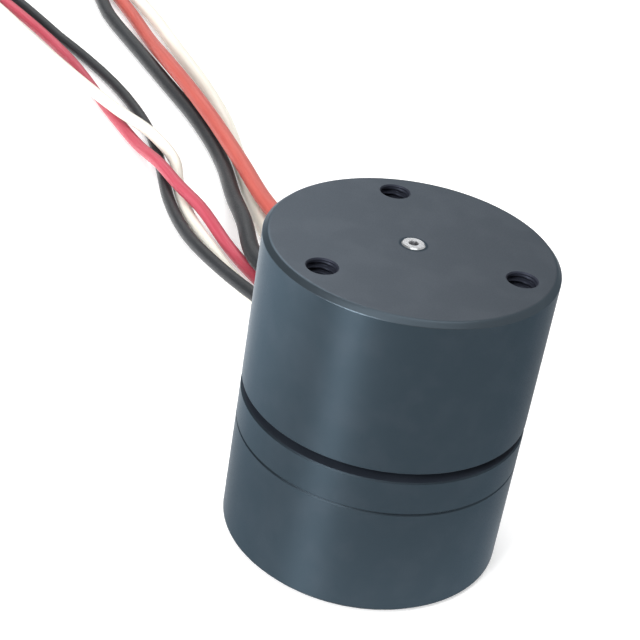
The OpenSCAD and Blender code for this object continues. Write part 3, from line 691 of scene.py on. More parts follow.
class Finish(Protocol):
    """What every finish has: its name, its slot and a way to build its material."""

    name: str
    skin: Skin

    def material(self, effects: Effects) -> bpy.types.Material:
        """Build the finish's material.

        Args:
            effects: the shared groups.

        Returns:
            The material.
        """


@dataclass(frozen=True)
class AnodisedFinish:
    """Turned and anodised metal: lathe lines round the axis, soft patches, and painted shade as darker lines
    along its edges.
    """

    name: str
    colour: Colour = srgb(52, 63, 71)
    patch: Colour = srgb(56, 66, 74)
    # The rims paint shade: darker lines along these edges, in the colour below.
    rims: Rims = ()
    rim_shade_colour: Colour = srgb(44, 53, 60)
    metallic: float = 0.92
    roughness: tuple[float, float] = (0.34, 0.42)
    anisotropic: float = 0.0
    edge_tint: Colour = (0.50, 0.53, 0.56)
    patch_size: float = 0.003
    line_spacing: float = 0.00007
    line_depth: float = 0.0000012
    grain_size: float = 0.00009
    grain_share: float = 0.35
    skin: Skin = Skin.ANODISED

    def material(self, effects: Effects) -> bpy.types.Material:
        """Build the finish's material; highlights stretch along the axis, across the lathe lines.

        Args:
            effects: the shared groups.

        Returns:
            The material.
        """
        coat = Coat(effects, self.name, {
            "Metallic": self.metallic, "Roughness": self.roughness[0], "Anisotropic": self.anisotropic,
            "Specular Tint": self.edge_tint,
        })
        coat.feed(coat.shader["Tangent"], coat.vector(0.0, 0.0, 1.0))
        patches = coat.effect(Effect.HANDLING, Size=self.patch_size, Amount=0.8)
        colour = coat.rimmed(coat.blend(patches, self.colour, self.patch), self.rims, self.rim_shade_colour)
        lines = coat.effect(Effect.TURNING, Spacing=self.line_spacing)
        grain = coat.effect(Effect.GRAIN, Size=self.grain_size)
        relief = coat.math("ADD", lines, coat.math("MULTIPLY", grain, self.grain_share))
        return coat.finished(colour, coat.grained(grain, *self.roughness), relief, self.line_depth)


@dataclass(frozen=True)
class MetalFinish:
    """Bare or plated metal with turning lines or an even grain, and painted shade along its rims."""

    name: str
    skin: Skin
    colour: Colour
    patch: Colour
    roughness: float
    relief: Effect = Effect.TURNING
    # The rims paint shade: a darker colour along these edges, or a dot on the axis.
    rims: Rims = ()
    rim_shade_colour: Colour = srgb(70, 72, 75)
    patch_size: float = 0.0015
    rougher: float = 0.12
    spacing: float = 0.00005
    depth: float = 0.0000015

    def material(self, effects: Effects) -> bpy.types.Material:
        """Build the finish's material; it is rougher in its patches.

        Args:
            effects: the shared groups.

        Returns:
            The material.
        """
        coat = Coat(effects, self.name, {"Metallic": 1.0, "Roughness": self.roughness})
        patches = coat.effect(Effect.HANDLING, Size=self.patch_size, Amount=0.9)
        colour = coat.rimmed(coat.blend(patches, self.colour, self.patch), self.rims, self.rim_shade_colour)
        rough = coat.remap(patches, 0.0, 1.0, self.roughness, self.roughness + self.rougher)
        relief = coat.effect(self.relief, **{self.relief.value[2][0]: self.spacing})
        return coat.finished(colour, rough, relief, self.depth)


@dataclass(frozen=True)
class SheetStackFinish:
    """A stack of thin electrical steel sheets, with a line between each two seen from the side."""

    name: str = "laminations"
    skin: Skin = Skin.LAMINATIONS
    colour: Colour = srgb(104, 106, 110)
    gap: Colour = srgb(44, 45, 48)
    roughness: tuple[float, float] = (0.4, 0.55)
    sheet: float = 0.0002
    line_edge: tuple[float, float] = (0.55, 0.95)
    line_share: float = 0.75
    grain_size: float = 0.00012
    depth: float = 0.000008

    def material(self, effects: Effects) -> bpy.types.Material:
        """Build the finish's material; the line's mask is a wave of the height with the sheet's pitch.

        Args:
            effects: the shared groups.

        Returns:
            The material.
        """
        coat = Coat(effects, self.name, {"Metallic": 0.9, "Roughness": 0.45})
        height = coat.parts(coat.coords)[2]
        wave = coat.math("SINE", coat.math("MULTIPLY", height, FULL_TURN / self.sheet))
        line = coat.remap(wave, *self.line_edge, 0.0, 1.0)
        grain = coat.effect(Effect.GRAIN, Size=self.grain_size)
        shade = coat.blend(coat.math("MULTIPLY", line, self.line_share), self.colour, self.gap)
        relief = coat.math("SUBTRACT", grain, line)
        return coat.finished(shade, coat.grained(grain, *self.roughness), relief, self.depth)


@dataclass(frozen=True)
class MouldedFinish:
    """Moulded nylon, rubber or package resin with a fine grain."""

    name: str
    skin: Skin
    colour: Colour
    patch: Colour
    roughness: float
    sheen: float = 0.0
    spread: tuple[float, float] = (-0.05, 0.08)
    patch_size: float = 0.0025
    grain_size: float = 0.00012
    depth: float = 0.000006

    def material(self, effects: Effects) -> bpy.types.Material:
        """Build the finish's material.

        Args:
            effects: the shared groups.

        Returns:
            The material.
        """
        plain = {"Metallic": 0.0, "Roughness": self.roughness, "Sheen Weight": self.sheen}
        coat = Coat(effects, self.name, plain)
        patches = coat.effect(Effect.HANDLING, Size=self.patch_size, Amount=0.7)
        grain = coat.effect(Effect.GRAIN, Size=self.grain_size)
        rough = coat.grained(grain, *(self.roughness + change for change in self.spread))
        return coat.finished(coat.blend(patches, self.colour, self.patch), rough, grain, self.depth)


@dataclass(frozen=True)
class SiliconeFinish:
    """The soft matt skin of a lead, with faint streaks along it and a little light passing inside."""

    name: str
    skin: Skin
    colour: Colour
    streak: Colour
    roughness: float = 0.5
    spread: tuple[float, float] = (-0.05, 0.09)
    subsurface: float = 0.06
    shine: float = 0.25
    grain_size: float = 0.00016
    streak_share: float = 0.4
    depth: float = 0.000008

    def material(self, effects: Effects) -> bpy.types.Material:
        """Build the finish's material; the streaks follow the lead's own map.

        Args:
            effects: the shared groups.

        Returns:
            The material.
        """
        coat = Coat(effects, self.name, {
            "Metallic": 0.0, "Roughness": self.roughness, "Specular IOR Level": self.shine,
            "Subsurface Weight": self.subsurface, "Subsurface Scale": 0.0004,
            "Subsurface Radius": (1.0, 0.6, 0.5),
        })
        own_map = coat.node("ShaderNodeUVMap", {}, uv_map="along")[0]
        streaks = coat.effect(Effect.STREAKS, own_map, Stretch=0.15, Count=3.0)
        grain = coat.effect(Effect.GRAIN, Size=self.grain_size)
        rough = coat.grained(grain, *(self.roughness + change for change in self.spread))
        relief = coat.math("ADD", grain, coat.math("MULTIPLY", streaks, self.streak_share))
        return coat.finished(coat.blend(streaks, self.colour, self.streak), rough, relief, self.depth)


@dataclass(frozen=True)
class EnamelledWireFinish:
    """Copper wire under clear enamel."""

    name: str = "copper_wire"
    skin: Skin = Skin.COPPER
    colour: Colour = srgb(190, 104, 54)
    patch: Colour = srgb(150, 74, 36)
    roughness: tuple[float, float] = (0.24, 0.38)
    patch_size: float = 0.0009
    grain_size: float = 0.00008
    depth: float = 0.000003

    def material(self, effects: Effects) -> bpy.types.Material:
        """Build the finish's material.

        Args:
            effects: the shared groups.

        Returns:
            The material.
        """
        plain = {"Metallic": 0.95, "Roughness": 0.3, "Coat Weight": 0.8, "Coat Roughness": 0.12}
        coat = Coat(effects, self.name, plain)
        patches = coat.effect(Effect.HANDLING, Size=self.patch_size, Amount=1.0)
        grain = coat.effect(Effect.GRAIN, Size=self.grain_size)
        shade = coat.blend(patches, self.colour, self.patch)
        return coat.finished(shade, coat.grained(grain, *self.roughness), grain, self.depth)


@dataclass(frozen=True)
class CircuitBoardFinish:
    """Solder mask over copper tracks, with bare pads."""

    name: str = "circuit_board"
    skin: Skin = Skin.BOARD
    mask: Colour = srgb(16, 84, 52)
    track: Colour = srgb(34, 118, 76)
    pad: Colour = srgb(196, 176, 120)
    roughness: tuple[float, float] = (0.3, 0.42)
    tracks_in_metre: float = 620.0
    track_edge: tuple[float, float] = (0.05, 0.09)
    randomness: float = 0.35
    pads_in_metre: float = 420.0
    pad_edge: tuple[float, float] = (0.12, 0.16)
    grain_size: float = 0.0001
    grain_share: float = 0.1
    depth: float = 0.00002

    def material(self, effects: Effects) -> bpy.types.Material:
        """Build the finish's material; the tracks are the edges of square cells and the pads lie in some.

        Args:
            effects: the shared groups.

        Returns:
            The material.
        """
        coat = Coat(effects, self.name, {"Metallic": 0.0, "Roughness": 0.35, "Coat Weight": 0.3})
        cells = coat.node(
            "ShaderNodeTexVoronoi",
            {"Vector": coat.coords, "Scale": self.tracks_in_metre, "Randomness": self.randomness},
            voronoi_dimensions="3D", feature="DISTANCE_TO_EDGE", distance="EUCLIDEAN",
        )[0]
        spots = coat.node(
            "ShaderNodeTexVoronoi", {"Vector": coat.coords, "Scale": self.pads_in_metre},
            voronoi_dimensions="3D", feature="F1",
        )[0]
        track = coat.remap(cells, *self.track_edge, 1.0, 0.0)
        pad = coat.remap(spots, *self.pad_edge, 1.0, 0.0)
        shade = coat.blend(pad, coat.blend(track, self.mask, self.track), self.pad)
        grain = coat.effect(Effect.GRAIN, Size=self.grain_size)
        relief = coat.math("ADD", track, coat.math("MULTIPLY", grain, self.grain_share))
        return coat.finished(shade, coat.grained(grain, *self.roughness), relief, self.depth)


BELL = AnodisedFinish("anodised_bell", anisotropic=0.8)
# A copy of the anodising for the bell's top chamfer, with no stretched highlights; its paler colour is tuned
# to how the lamps light that edge: painted light.
RIM = AnodisedFinish("anodised_rim", srgb(66, 75, 82), srgb(68, 77, 84))
# A darker, duller copy of the anodising for the threaded holes: painted shade inside them.
THREAD = AnodisedFinish(
    "anodised_thread", srgb(40, 43, 54), srgb(44, 47, 58), metallic=0.5, roughness=(0.5, 0.6)
)
# A less metallic copy of the anodising for the ledge under the bell, so that it catches lamp light in the
# gap's shade: painted light.
LEDGE = AnodisedFinish(
    "anodised_ledge", srgb(50, 56, 66), srgb(54, 60, 70), metallic=0.4, roughness=(0.5, 0.6)
)
# A darker copy of the anodising, with no stretched highlights, for the top chamfers of the band and the
# housing: painted shade along those edges.
EDGE = AnodisedFinish("anodised_edge", srgb(48, 57, 64), srgb(50, 59, 66))
POLISHED = MetalFinish("polished_steel", Skin.POLISHED, srgb(206, 208, 210), srgb(184, 186, 190), 0.16)
DULL = MetalFinish("dull_steel", Skin.DULL, srgb(150, 152, 155), srgb(122, 124, 128), 0.36)
PLATED = MetalFinish(
    "magnet_plating", Skin.MAGNET, srgb(176, 178, 182), srgb(158, 160, 166), 0.3, Effect.GRAIN
)
BRASS = MetalFinish("brass", Skin.BRASS, srgb(206, 172, 96), srgb(186, 150, 78), 0.28, Effect.GRAIN)
SOLDER = MetalFinish("solder", Skin.POLISHED, srgb(186, 188, 192), srgb(160, 162, 166), 0.24, Effect.GRAIN)
LIGHT_NYLON = MouldedFinish("light_nylon", Skin.LIGHT_NYLON, srgb(206, 203, 191), srgb(214, 212, 201), 0.38)
DARK_NYLON = MouldedFinish("dark_nylon", Skin.DARK_NYLON, srgb(36, 37, 40), srgb(46, 47, 50), 0.42)
RESIN = MouldedFinish("package_resin", Skin.DARK_NYLON, srgb(34, 34, 37), srgb(42, 42, 45), 0.5)
RUBBER = MouldedFinish("grommet_rubber", Skin.RUBBER, srgb(34, 35, 37), srgb(48, 49, 51), 0.62, 0.2)


@dataclass
class Wardrobe:
    """The CAD nodes by name, and every finish of the motor, made once and put onto pieces."""

    nodes: dict[str, Piece]
    effects: Effects = field(default_factory=Effects)
    made: dict[str, bpy.types.Material] = field(default_factory=dict)

    def get(self, finish: Finish) -> bpy.types.Material:
        """Return a finish's material, and make it the first time.

        It is looked up by name. So a finish that has the name of one of the frame's own plain materials
        gets the frame's, and not the new one, whose name then ends in a number.

        Args:
            finish: the finish.

        Returns:
            The material that carries exactly the finish's name.
        """
        if finish.name not in self.made:
            finish.material(self.effects)
            self.made[finish.name] = bpy.data.materials[finish.name]
        return self.made[finish.name]

    def dress(self, piece: Piece, finish: Finish) -> None:
        """Give a piece one finish.

        Args:
            piece: the object.
            finish: what covers it.
        """
        piece.data.materials.clear()
        piece.data.materials.append(self.get(finish))

    def dress_nodes(self, finish: Finish, *names: str) -> None:
        """Give CAD nodes one finish."""
        for name in names:
            self.dress(self.nodes[name], finish)

    def fit(self, piece: Piece, finish: Finish, node: str, body: str = "stator") -> None:
        """Dress a new piece, let it stand for a CAD node and make it ride on that node's body.

        Args:
            piece: the object.
            finish: what covers it.
            node: the CAD node that it replaces.
            body: the body that it moves with.
        """
        self.dress(piece, finish)
        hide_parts(node)
        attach(piece, body)

    def accent(self, piece: Piece, finish: Finish, chosen: NDArray[np.bool_]) -> None:
        """Give some of a dressed piece's faces another finish.

        Args:
            piece: the object.
            finish: what covers the chosen faces.
            chosen: for each face, whether it is one of them.
        """
        piece.data.materials.append(self.get(finish))
        slots = np.empty(len(piece.data.polygons), dtype=np.int32)
        piece.data.polygons.foreach_get("material_index", slots)
        slots[chosen] = len(piece.data.materials) - 1
        piece.data.polygons.foreach_set("material_index", slots)


# Camera, floor and light


@dataclass
class PhotoCamera:
    """The camera at the photograph's viewing angle, in metres and radians."""

    place: Point = (0.0, -0.117259, 0.0893530)
    yaw: float = -0.0558
    pitch: float = 0.5325
    roll: float = 0.168
    lens: float = 89.898
    sensor: float = 36.0
    clip: tuple[float, float] = (0.005, 20.0)

    def build(self) -> None:
        """Make the camera and give it to the scene.

        Its sight is (sin yaw cos pitch, cos yaw cos pitch, -sin pitch), and its right and up are
        turned about that by the roll.
        """
        level = math.cos(self.pitch)
        sight = np.array([math.sin(self.yaw) * level, math.cos(self.yaw) * level, -math.sin(self.pitch)])
        right = np.array([math.cos(self.yaw), -math.sin(self.yaw), 0.0])
        above = np.cross(right, sight)
        rolled = right * math.cos(self.roll) + above * math.sin(self.roll)
        upright = above * math.cos(self.roll) - right * math.sin(self.roll)
        data = bpy.data.cameras.new("photo_camera")
        data.lens, data.sensor_width, data.sensor_fit = self.lens, self.sensor, "HORIZONTAL"
        data.clip_start, data.clip_end = self.clip
        camera = link("photo_camera", data)
        camera.matrix_world = pose(rolled, upright, -sight, self.place)
        bpy.context.scene.camera = camera


@dataclass(frozen=True)
class Lamp:
    """A soft rectangular lamp: where it stands round the motor, its size and its power."""

    name: str
    azimuth: float
    elevation: float
    distance: float
    width: float
    height: float
    watts: float
    aim: Point = (0.0, 0.0, 0.015)

    def build(self) -> None:
        """Make the lamp, aimed at the motor; azimuth 0 is on the camera's side and 90 on the right."""
        a, e = math.radians(self.azimuth), math.radians(self.elevation)
        away = np.array([math.sin(a) * math.cos(e), -math.cos(a) * math.cos(e), math.sin(e)])
        data = bpy.data.lights.new(self.name, "AREA")
        data.shape, data.size, data.size_y = "RECTANGLE", self.width, self.height
        data.energy = self.watts
        side = np.cross([0.0, 0.0, 1.0], away)
        side /= np.linalg.norm(side)
        lamp = link(self.name, data)
        lamp.matrix_world = pose(side, np.cross(away, side), away, away * self.distance + self.aim)


@dataclass
class Studio:
    """A pale floor without an end, a white surround and soft lamps.

    What the motor mirrors differs from what the camera sees: the floor is dim in front of the
    motor, bright behind it on the left and paler round its foot, and the surround is brightest
    behind it on the right.
    """

    floor_half: float = 3.0
    floor_z: float = -0.00002
    floor_colour: Colour = (0.80, 0.80, 0.80)
    floor_glow: float = 0.4
    mirrored_front: float = 0.15
    mirrored_behind: float = 1.9
    mirrored_foot: float = 1.0
    foot_reach: tuple[float, float] = (0.0125, 0.03)
    pale_corner: Point = (-0.7, 0.7, 0.0)
    corner_reach: tuple[float, float] = (0.0, 0.045)
    left_reach: tuple[float, float] = (-0.02, 0.0)
    surround: float = 0.5
    mirrored_surround: tuple[float, float] = (0.2, 1.0)
    bright_side: Point = (0.4, 0.6, 0.1)
    lamps: tuple[Lamp, ...] = (
        Lamp("key_lamp", -32.0, 24.0, 0.50, 0.17, 0.36, 3.4),
        Lamp("back_lamp", -155.0, 42.0, 0.50, 0.34, 0.30, 1.0),
        Lamp("top_lamp", 20.0, 80.0, 0.60, 0.50, 0.50, 1.4),
    )

    def build(self) -> None:
        """Make the floor, the world and the lamps, and set the view transform."""
        self._floor()
        self._world()
        for lamp in self.lamps:
            lamp.build()
        bpy.context.scene.view_settings.view_transform = "Standard"

    @staticmethod
    def _background_rays(graph: Graph) -> tuple[Socket, Socket]:
        """Return 1 on camera rays, and 1 on glossy and transmission rays."""
        rays = graph.node("ShaderNodeLightPath", {})
        mirrored = graph.math("MAXIMUM", rays["Is Glossy Ray"], rays["Is Transmission Ray"])
        return rays["Is Camera Ray"], mirrored

    def _mirrored_floor(self, graph: Graph) -> Socket:
        """Return how bright the floor looks in the motor's surface.

        Args:
            graph: the floor's graph.

        Returns:
            The strength: bright at the pale corner, but not on the right, and pale round the foot.
        """
        front, behind = self.mirrored_front, self.mirrored_behind
        place = graph.node("ShaderNodeTexCoord", {})["Object"]
        pale = graph.remap(graph.along(place, self.pale_corner), *self.corner_reach, front, behind)
        left = graph.remap(graph.parts(place)[0], *self.left_reach, behind, front)
        away = graph.node("ShaderNodeVectorMath", {0: place}, operation="LENGTH")["Value"]
        foot = graph.remap(away, *self.foot_reach, self.mirrored_foot, front)
        return graph.math("MAXIMUM", graph.math("MINIMUM", pale, left), foot)

    def _floor(self) -> None:
        """Make the floor: a matt white that glows faintly for the camera, so its shadows stay."""
        half, z = self.floor_half / MM, self.floor_z / MM
        corners = np.array([[-half, -half, z], [half, -half, z], [half, half, z], [-half, half, z]])
        floor = make_object("studio_floor", Surface(corners, [(0, 1, 2, 3)]))
        material = bpy.data.materials.new("studio_floor")
        material.use_nodes = True
        graph = Graph(material.node_tree)
        graph.tree.nodes.clear()
        camera, mirrored = self._background_rays(graph)
        glow = graph.math("MULTIPLY", camera, self.floor_glow)
        strength = graph.math("ADD", glow, graph.math("MULTIPLY", mirrored, self._mirrored_floor(graph)))
        matt = graph.node("ShaderNodeBsdfDiffuse", {"Color": self.floor_colour})[0]
        light = graph.node("ShaderNodeEmission", {"Strength": strength})[0]
        both = graph.node("ShaderNodeAddShader", {0: matt, 1: light})[0]
        graph.node("ShaderNodeOutputMaterial", {"Surface": both})
        floor.data.materials.append(material)

    def _world(self) -> None:
        """Make the surround: white where it is seen, and dimmer as a source of light."""
        world = bpy.data.worlds.new("studio_surround")
        world.use_nodes = True
        bpy.context.scene.world = world
        graph = Graph(world.node_tree)
        graph.tree.nodes.clear()
        facing = graph.along(graph.node("ShaderNodeTexCoord", {})["Generated"], self.bright_side)
        pale = graph.remap(facing, -1.0, 1.0, *self.mirrored_surround)
        camera, mirrored = self._background_rays(graph)
        seen = graph.math("ADD", self.surround, graph.math("MULTIPLY", camera, 1.0 - self.surround))
        change = graph.math("MULTIPLY", mirrored, graph.math("SUBTRACT", pale, self.surround))
        inputs = {"Strength": graph.math("ADD", seen, change), "Color": (1.0, 1.0, 1.0)}
        graph.node("ShaderNodeOutputWorld", {"Surface": graph.node("ShaderNodeBackground", inputs)[0]})


# Leads and plugs


@dataclass(frozen=True)
class Plug:
    """A three-way plug lying on the table: its rear middle, heading, cell pitch and size."""

    name: str
    finish: MouldedFinish
    at: tuple[float, float]
    heading: float
    pitch: float
    height: float
    length: float
    side: float = 1.0
    contact: float = 0.64
    play: float = 0.2
    inset: float = 1.0
    window: tuple[float, float] = (1 / 3, 7 / 12)
    rounding: float = 0.35
    steps: int = 5
    grip_start: float = 1.0
    grip_depth: float = 0.16
    grip_pitch: float = 0.7
    grips: int = 3
    past: float = 1.0

    @property
    def ahead(self) -> Array:
        """The unit vector along the plug, away from its leads."""
        return turned_z(self.heading)[:, 0]

    def mouth(self, cell: int) -> Array:
        """Return the middle of a cell's rear end; cells count -1, 0 and 1 across the plug."""
        across = np.cross(self.ahead, [0.0, 0.0, 1.0])
        return np.array([*self.at, self.height / 2]) - cell * self.pitch * across

    def _block(self) -> Surface:
        """Make the plug's block: a rounded outline, drawn in by a quarter circle at both ends.

        Returns:
            The closed body, along X from the plug's rear.
        """
        half = self.pitch + self.side
        corners = np.array([[-half, 0.0], [half, 0.0], [half, self.height], [-half, self.height]])
        turn = np.linspace(0.0, QUARTER_TURN, self.steps)
        drawn_in, rise = self.rounding * (1 - np.sin(turn)), self.rounding * (1 - np.cos(turn))
        stations = np.concatenate([rise, self.length - drawn_in])
        outline = rounded(corners, np.full(4, self.rounding), self.steps)
        return loft(outline, stations, np.concatenate([drawn_in, rise]))

    def _cutters(self) -> list[Surface]:
        """Make what is cut out: a cell and a window for each contact, and grips across the top.

        Returns:
            The blocks to take away.
        """
        half, middle, top = self.contact / 2 + self.play, self.height / 2, self.height + self.past
        start, end = (self.length * share for share in self.window)
        beyond = self.length + self.past
        cut = []
        for y in (-self.pitch, 0.0, self.pitch):
            cut.append(box((self.inset, y - half, middle - half), (beyond, y + half, middle + half)))
            cut.append(box((start, y - half, middle), (end, y + half, top)))
        wide = 2 * (self.pitch + self.side)
        for k in range(self.grips):
            x = self.grip_start + k * self.grip_pitch
            cut.append(box((x, -wide, self.height - self.grip_depth), (x + self.grip_pitch / 2, wide, top)))
        return cut

    def build(self, wardrobe: Wardrobe) -> list[Piece]:
        """Make the shell and dress the contacts.

        Args:
            wardrobe: where the finishes come from.

        Returns:
            The shell and the CAD node of its contacts.
        """
        shell = make_object(f"{self.name}_shell", self._block())
        carve(shell, self._cutters())
        shell.data.transform(pose(turned_z(self.heading), np.array([*self.at, 0.0]) * MM))
        wardrobe.fit(shell, self.finish, self.name)
        contacts = f"{self.name}_contacts"
        wardrobe.dress_nodes(BRASS, contacts)
        LOG.info("%s: shell with three cells", self.name)
        return [shell, wardrobe.nodes[contacts]]


@dataclass(frozen=True)
class Lead:
    """One lead: its finish, its cell in the plug and its route between the grommet and the plug."""

    finish: SiliconeFinish
    cell: int
    route: tuple[Point, ...]

    @property
    def colour(self) -> str:
        """The word for its colour in the names of its pieces."""
        return self.finish.skin.name.lower()


@dataclass(frozen=True)
class LeadGroup:
    """Three leads side by side in the grommet, from +X to -X, and the plug on their ends."""

    name: str
    radius: float
    z: float
    plug: Plug
    leads: tuple[Lead, ...]
    pitch: float = 2.5
    start_y: float = 12.45
    face_y: float = 14.0
    straight: float = 4.0
    spans: int = 6
    path_spans: int = 3
    sides: int = 24

    def placed_leads(self) -> list[tuple[float, Lead]]:
        """Return each lead with its place along X in the grommet."""
        return list(zip((self.pitch, 0.0, -self.pitch), self.leads))

    def line(self, x: float, lead: Lead, spans: int) -> Array:
        """Find a lead's centreline from inside the grommet to its plug, nowhere below the table.

        Args:
            x: the lead's place in the grommet.
            lead: the lead.
            spans: number of straight spans between two points of its route.

        Returns:
            The centreline's points.
        """
        mouth = self.plug.mouth(lead.cell)
        leaving = [(x, self.start_y, self.z), (x, self.face_y + self.straight, self.z)]
        arriving = [mouth - self.straight * self.plug.ahead, mouth]
        line = smooth_route(np.array([*leaving, *lead.route, *arriving]), spans)
        line[:, 2] = np.maximum(line[:, 2], self.radius)
        return line

    def build(self, plug_pieces: list[Piece], wardrobe: Wardrobe) -> None:
        """Args:
            plug_pieces: the pieces of the plug on their ends; not used.
            wardrobe: where the finishes come from.
        """
        for x, lead in self.placed_leads():
            node = f"{self.name}_lead_{lead.colour}"
            fine = self.line(x, lead, self.spans)
            piece = make_object(f"{node}_tube", tube(fine, self.radius, self.sides, (0.0, 0.0, 1.0)))
            wardrobe.fit(piece, lead.finish, node)
            (self.line(x, lead, self.path_spans) * MM).tolist()


THICK_RED = SiliconeFinish("thick_red_silicone", Skin.RED, srgb(172, 77, 69), srgb(182, 88, 79))
THICK_WHITE = SiliconeFinish("thick_white_silicone", Skin.WHITE, srgb(222, 217, 204), srgb(232, 228, 218))
THICK_BLACK = SiliconeFinish("thick_black_silicone", Skin.BLACK, srgb(28, 30, 33), srgb(38, 40, 43))
THIN_RED = SiliconeFinish("thin_red_silicone", Skin.RED, srgb(167, 61, 76), srgb(179, 78, 93))
THIN_WHITE = SiliconeFinish("thin_white_silicone", Skin.WHITE, srgb(222, 217, 204), srgb(232, 228, 218))
THIN_BLACK = SiliconeFinish("thin_black_silicone", Skin.BLACK, srgb(28, 30, 33), srgb(38, 40, 43))

PHASE_PLUG = Plug("phase_plug", DARK_NYLON, (-57.0, 124.0), 123.5, pitch=2.54, height=2.6, length=14.0)
SENSOR_PLUG = Plug("sensor_plug", LIGHT_NYLON, (-70.5, 108.5), 135.0, pitch=2.0, height=3.6, length=8.0)

# The routes of the part's source, in mm

PHASE_LEADS = LeadGroup("phase", radius=1.0, z=8.028, plug=PHASE_PLUG, leads=(
    Lead(THICK_RED, cell=0, route=(
        (1, 25, 5.8), (-3.6, 34, 4.4), (-11.5, 44, 3.3), (-17.8, 52.8, 3.15), (-23.3, 63.5, 3.15),
        (-28.9, 74.2, 3.1), (-34.4, 83.8, 3.05), (-39.2, 92, 2.75), (-43.6, 101.2, 1.4), (-49, 111.5, 1),
    )),
    Lead(THICK_WHITE, cell=-1, route=(
        (-1.5, 25, 5.2), (-6, 34, 2.7), (-12, 42.5, 1.4), (-17, 49.5, 1), (-20, 56.5, 1),
        (-23.5, 66.5, 1), (-28, 79, 1), (-33, 89.5, 1), (-39.5, 101, 1), (-46, 112.5, 1),
    )),
    Lead(THICK_BLACK, cell=1, route=(
        (-4.5, 25, 5.6), (-10, 32.5, 3.4), (-17, 40, 2.75), (-20, 48.3, 2.85), (-22.5, 55.5, 2),
        (-26, 66.5, 1), (-31.5, 77.5, 1), (-38.5, 88.5, 1), (-45, 98.5, 1), (-52, 109.5, 1),
    )),
))
SENSOR_LEADS = LeadGroup("sensor", radius=0.75, z=5.928, plug=SENSOR_PLUG, leads=(
    Lead(THIN_RED, cell=0, route=(
        (0.2, 23.8, 3.3), (-6, 30.8, 1.1), (-15.2, 37.7, 0.75), (-20.6, 44.4, 0.9), (-25.6, 50.6, 2.3),
        (-29.3, 55, 2.45), (-32.6, 59.6, 2.45), (-36.8, 66, 1.3), (-42, 74, 0.85), (-56, 94.5, 0.8),
    )),
    Lead(THIN_WHITE, cell=1, route=(
        (-2.2, 23.5, 3.2), (-8.5, 29.3, 1), (-16.4, 35.2, 0.75), (-22.9, 44.2, 0.75), (-27.1, 51.3, 0.75),
        (-29.9, 58.3, 0.85), (-31.5, 62.9, 1.75), (-34.7, 66.5, 2.6), (-41.5, 72.6, 2.7), (-57.5, 91.5, 1.5),
    )),
    Lead(THIN_BLACK, cell=-1, route=(
        (-5, 22.8, 4), (-10.5, 28, 2.6), (-16.7, 33.3, 2.4), (-21.6, 39, 1.8), (-26, 45.4, 1.15),
        (-30, 53.6, 0.85), (-33, 62.3, 0.8), (-36.2, 70.7, 0.75), (-40, 77.8, 0.75), (-56.5, 98, 0.75),
    )),
))


@dataclass
class LeadSet:
    """The six leads and their two plugs."""

    groups: tuple[LeadGroup, ...] = (PHASE_LEADS, SENSOR_LEADS)

    def build(self, wardrobe: Wardrobe) -> None:
        """Make both plugs, and then the leads that end in them.

        Args:
            wardrobe: where the finishes come from.
        """
        plugs = [group.plug.build(wardrobe) for group in self.groups]
        for group, pieces in zip(self.groups, plugs):
            group.build(pieces, wardrobe)


# Motor


@dataclass(frozen=True)
class Thread:
    """A threaded hole along Z: its two radii, pitch and span, and the chamfer at its mouth."""

    minor: float
    major: float
    pitch: float
    low: float
    high: float
    mouth_z: float
    mouth_up: bool
    mouth: float = 0.12
    run_out: float = 0.35
    root_share: float = 0.2
    flank_share: float = 0.6
    sides: int = 36
    rows_in_pitch: int = 8
    start: float = 0.065

    def cutter(self, x: float, y: float, spare: float) -> Surface:
        """Make the body to cut away, whose radius is r(a, z) = minor + (major - minor) w.

        w is a trapezoid of the phase z / pitch - a / turn, so that its crest climbs one pitch in a turn,
        and it fades out towards the chamfered mouth. The angle starts a little off zero, so that no edge
        lines up with one of the hole's.

        Args:
            x: the hole's place along X.
            y: the hole's place along Y.
            spare: how far inside the minor radius the body starts, so that no faces coincide.

        Returns:
            The closed body.
        """
        count = int(math.ceil((self.high - self.low) / self.pitch * self.rows_in_pitch)) + 1
        z = np.linspace(self.low, self.high, count)[:, None]
        angle = self.start + np.linspace(0.0, FULL_TURN, self.sides, endpoint=False)[None, :]
        phase = (z / self.pitch - angle / FULL_TURN) % 1.0
        groove = np.clip((1 - np.abs(2 * phase - 1) - self.root_share) / self.flank_share, 0.0, 1.0)
        outward = (z - self.mouth_z) if self.mouth_up else (self.mouth_z - z)
        groove = groove * np.clip((-outward - self.mouth) / self.run_out, 0.0, 1.0)
        radius = self.minor - spare + (self.major - self.minor + spare) * groove
        radius = np.maximum(radius, self.minor + self.mouth - spare + outward)
        rings = [x + radius * np.cos(angle), y + radius * np.sin(angle), np.broadcast_to(z, radius.shape)]
        return Surface.over(np.stack(rings, axis=-1), capped=True)


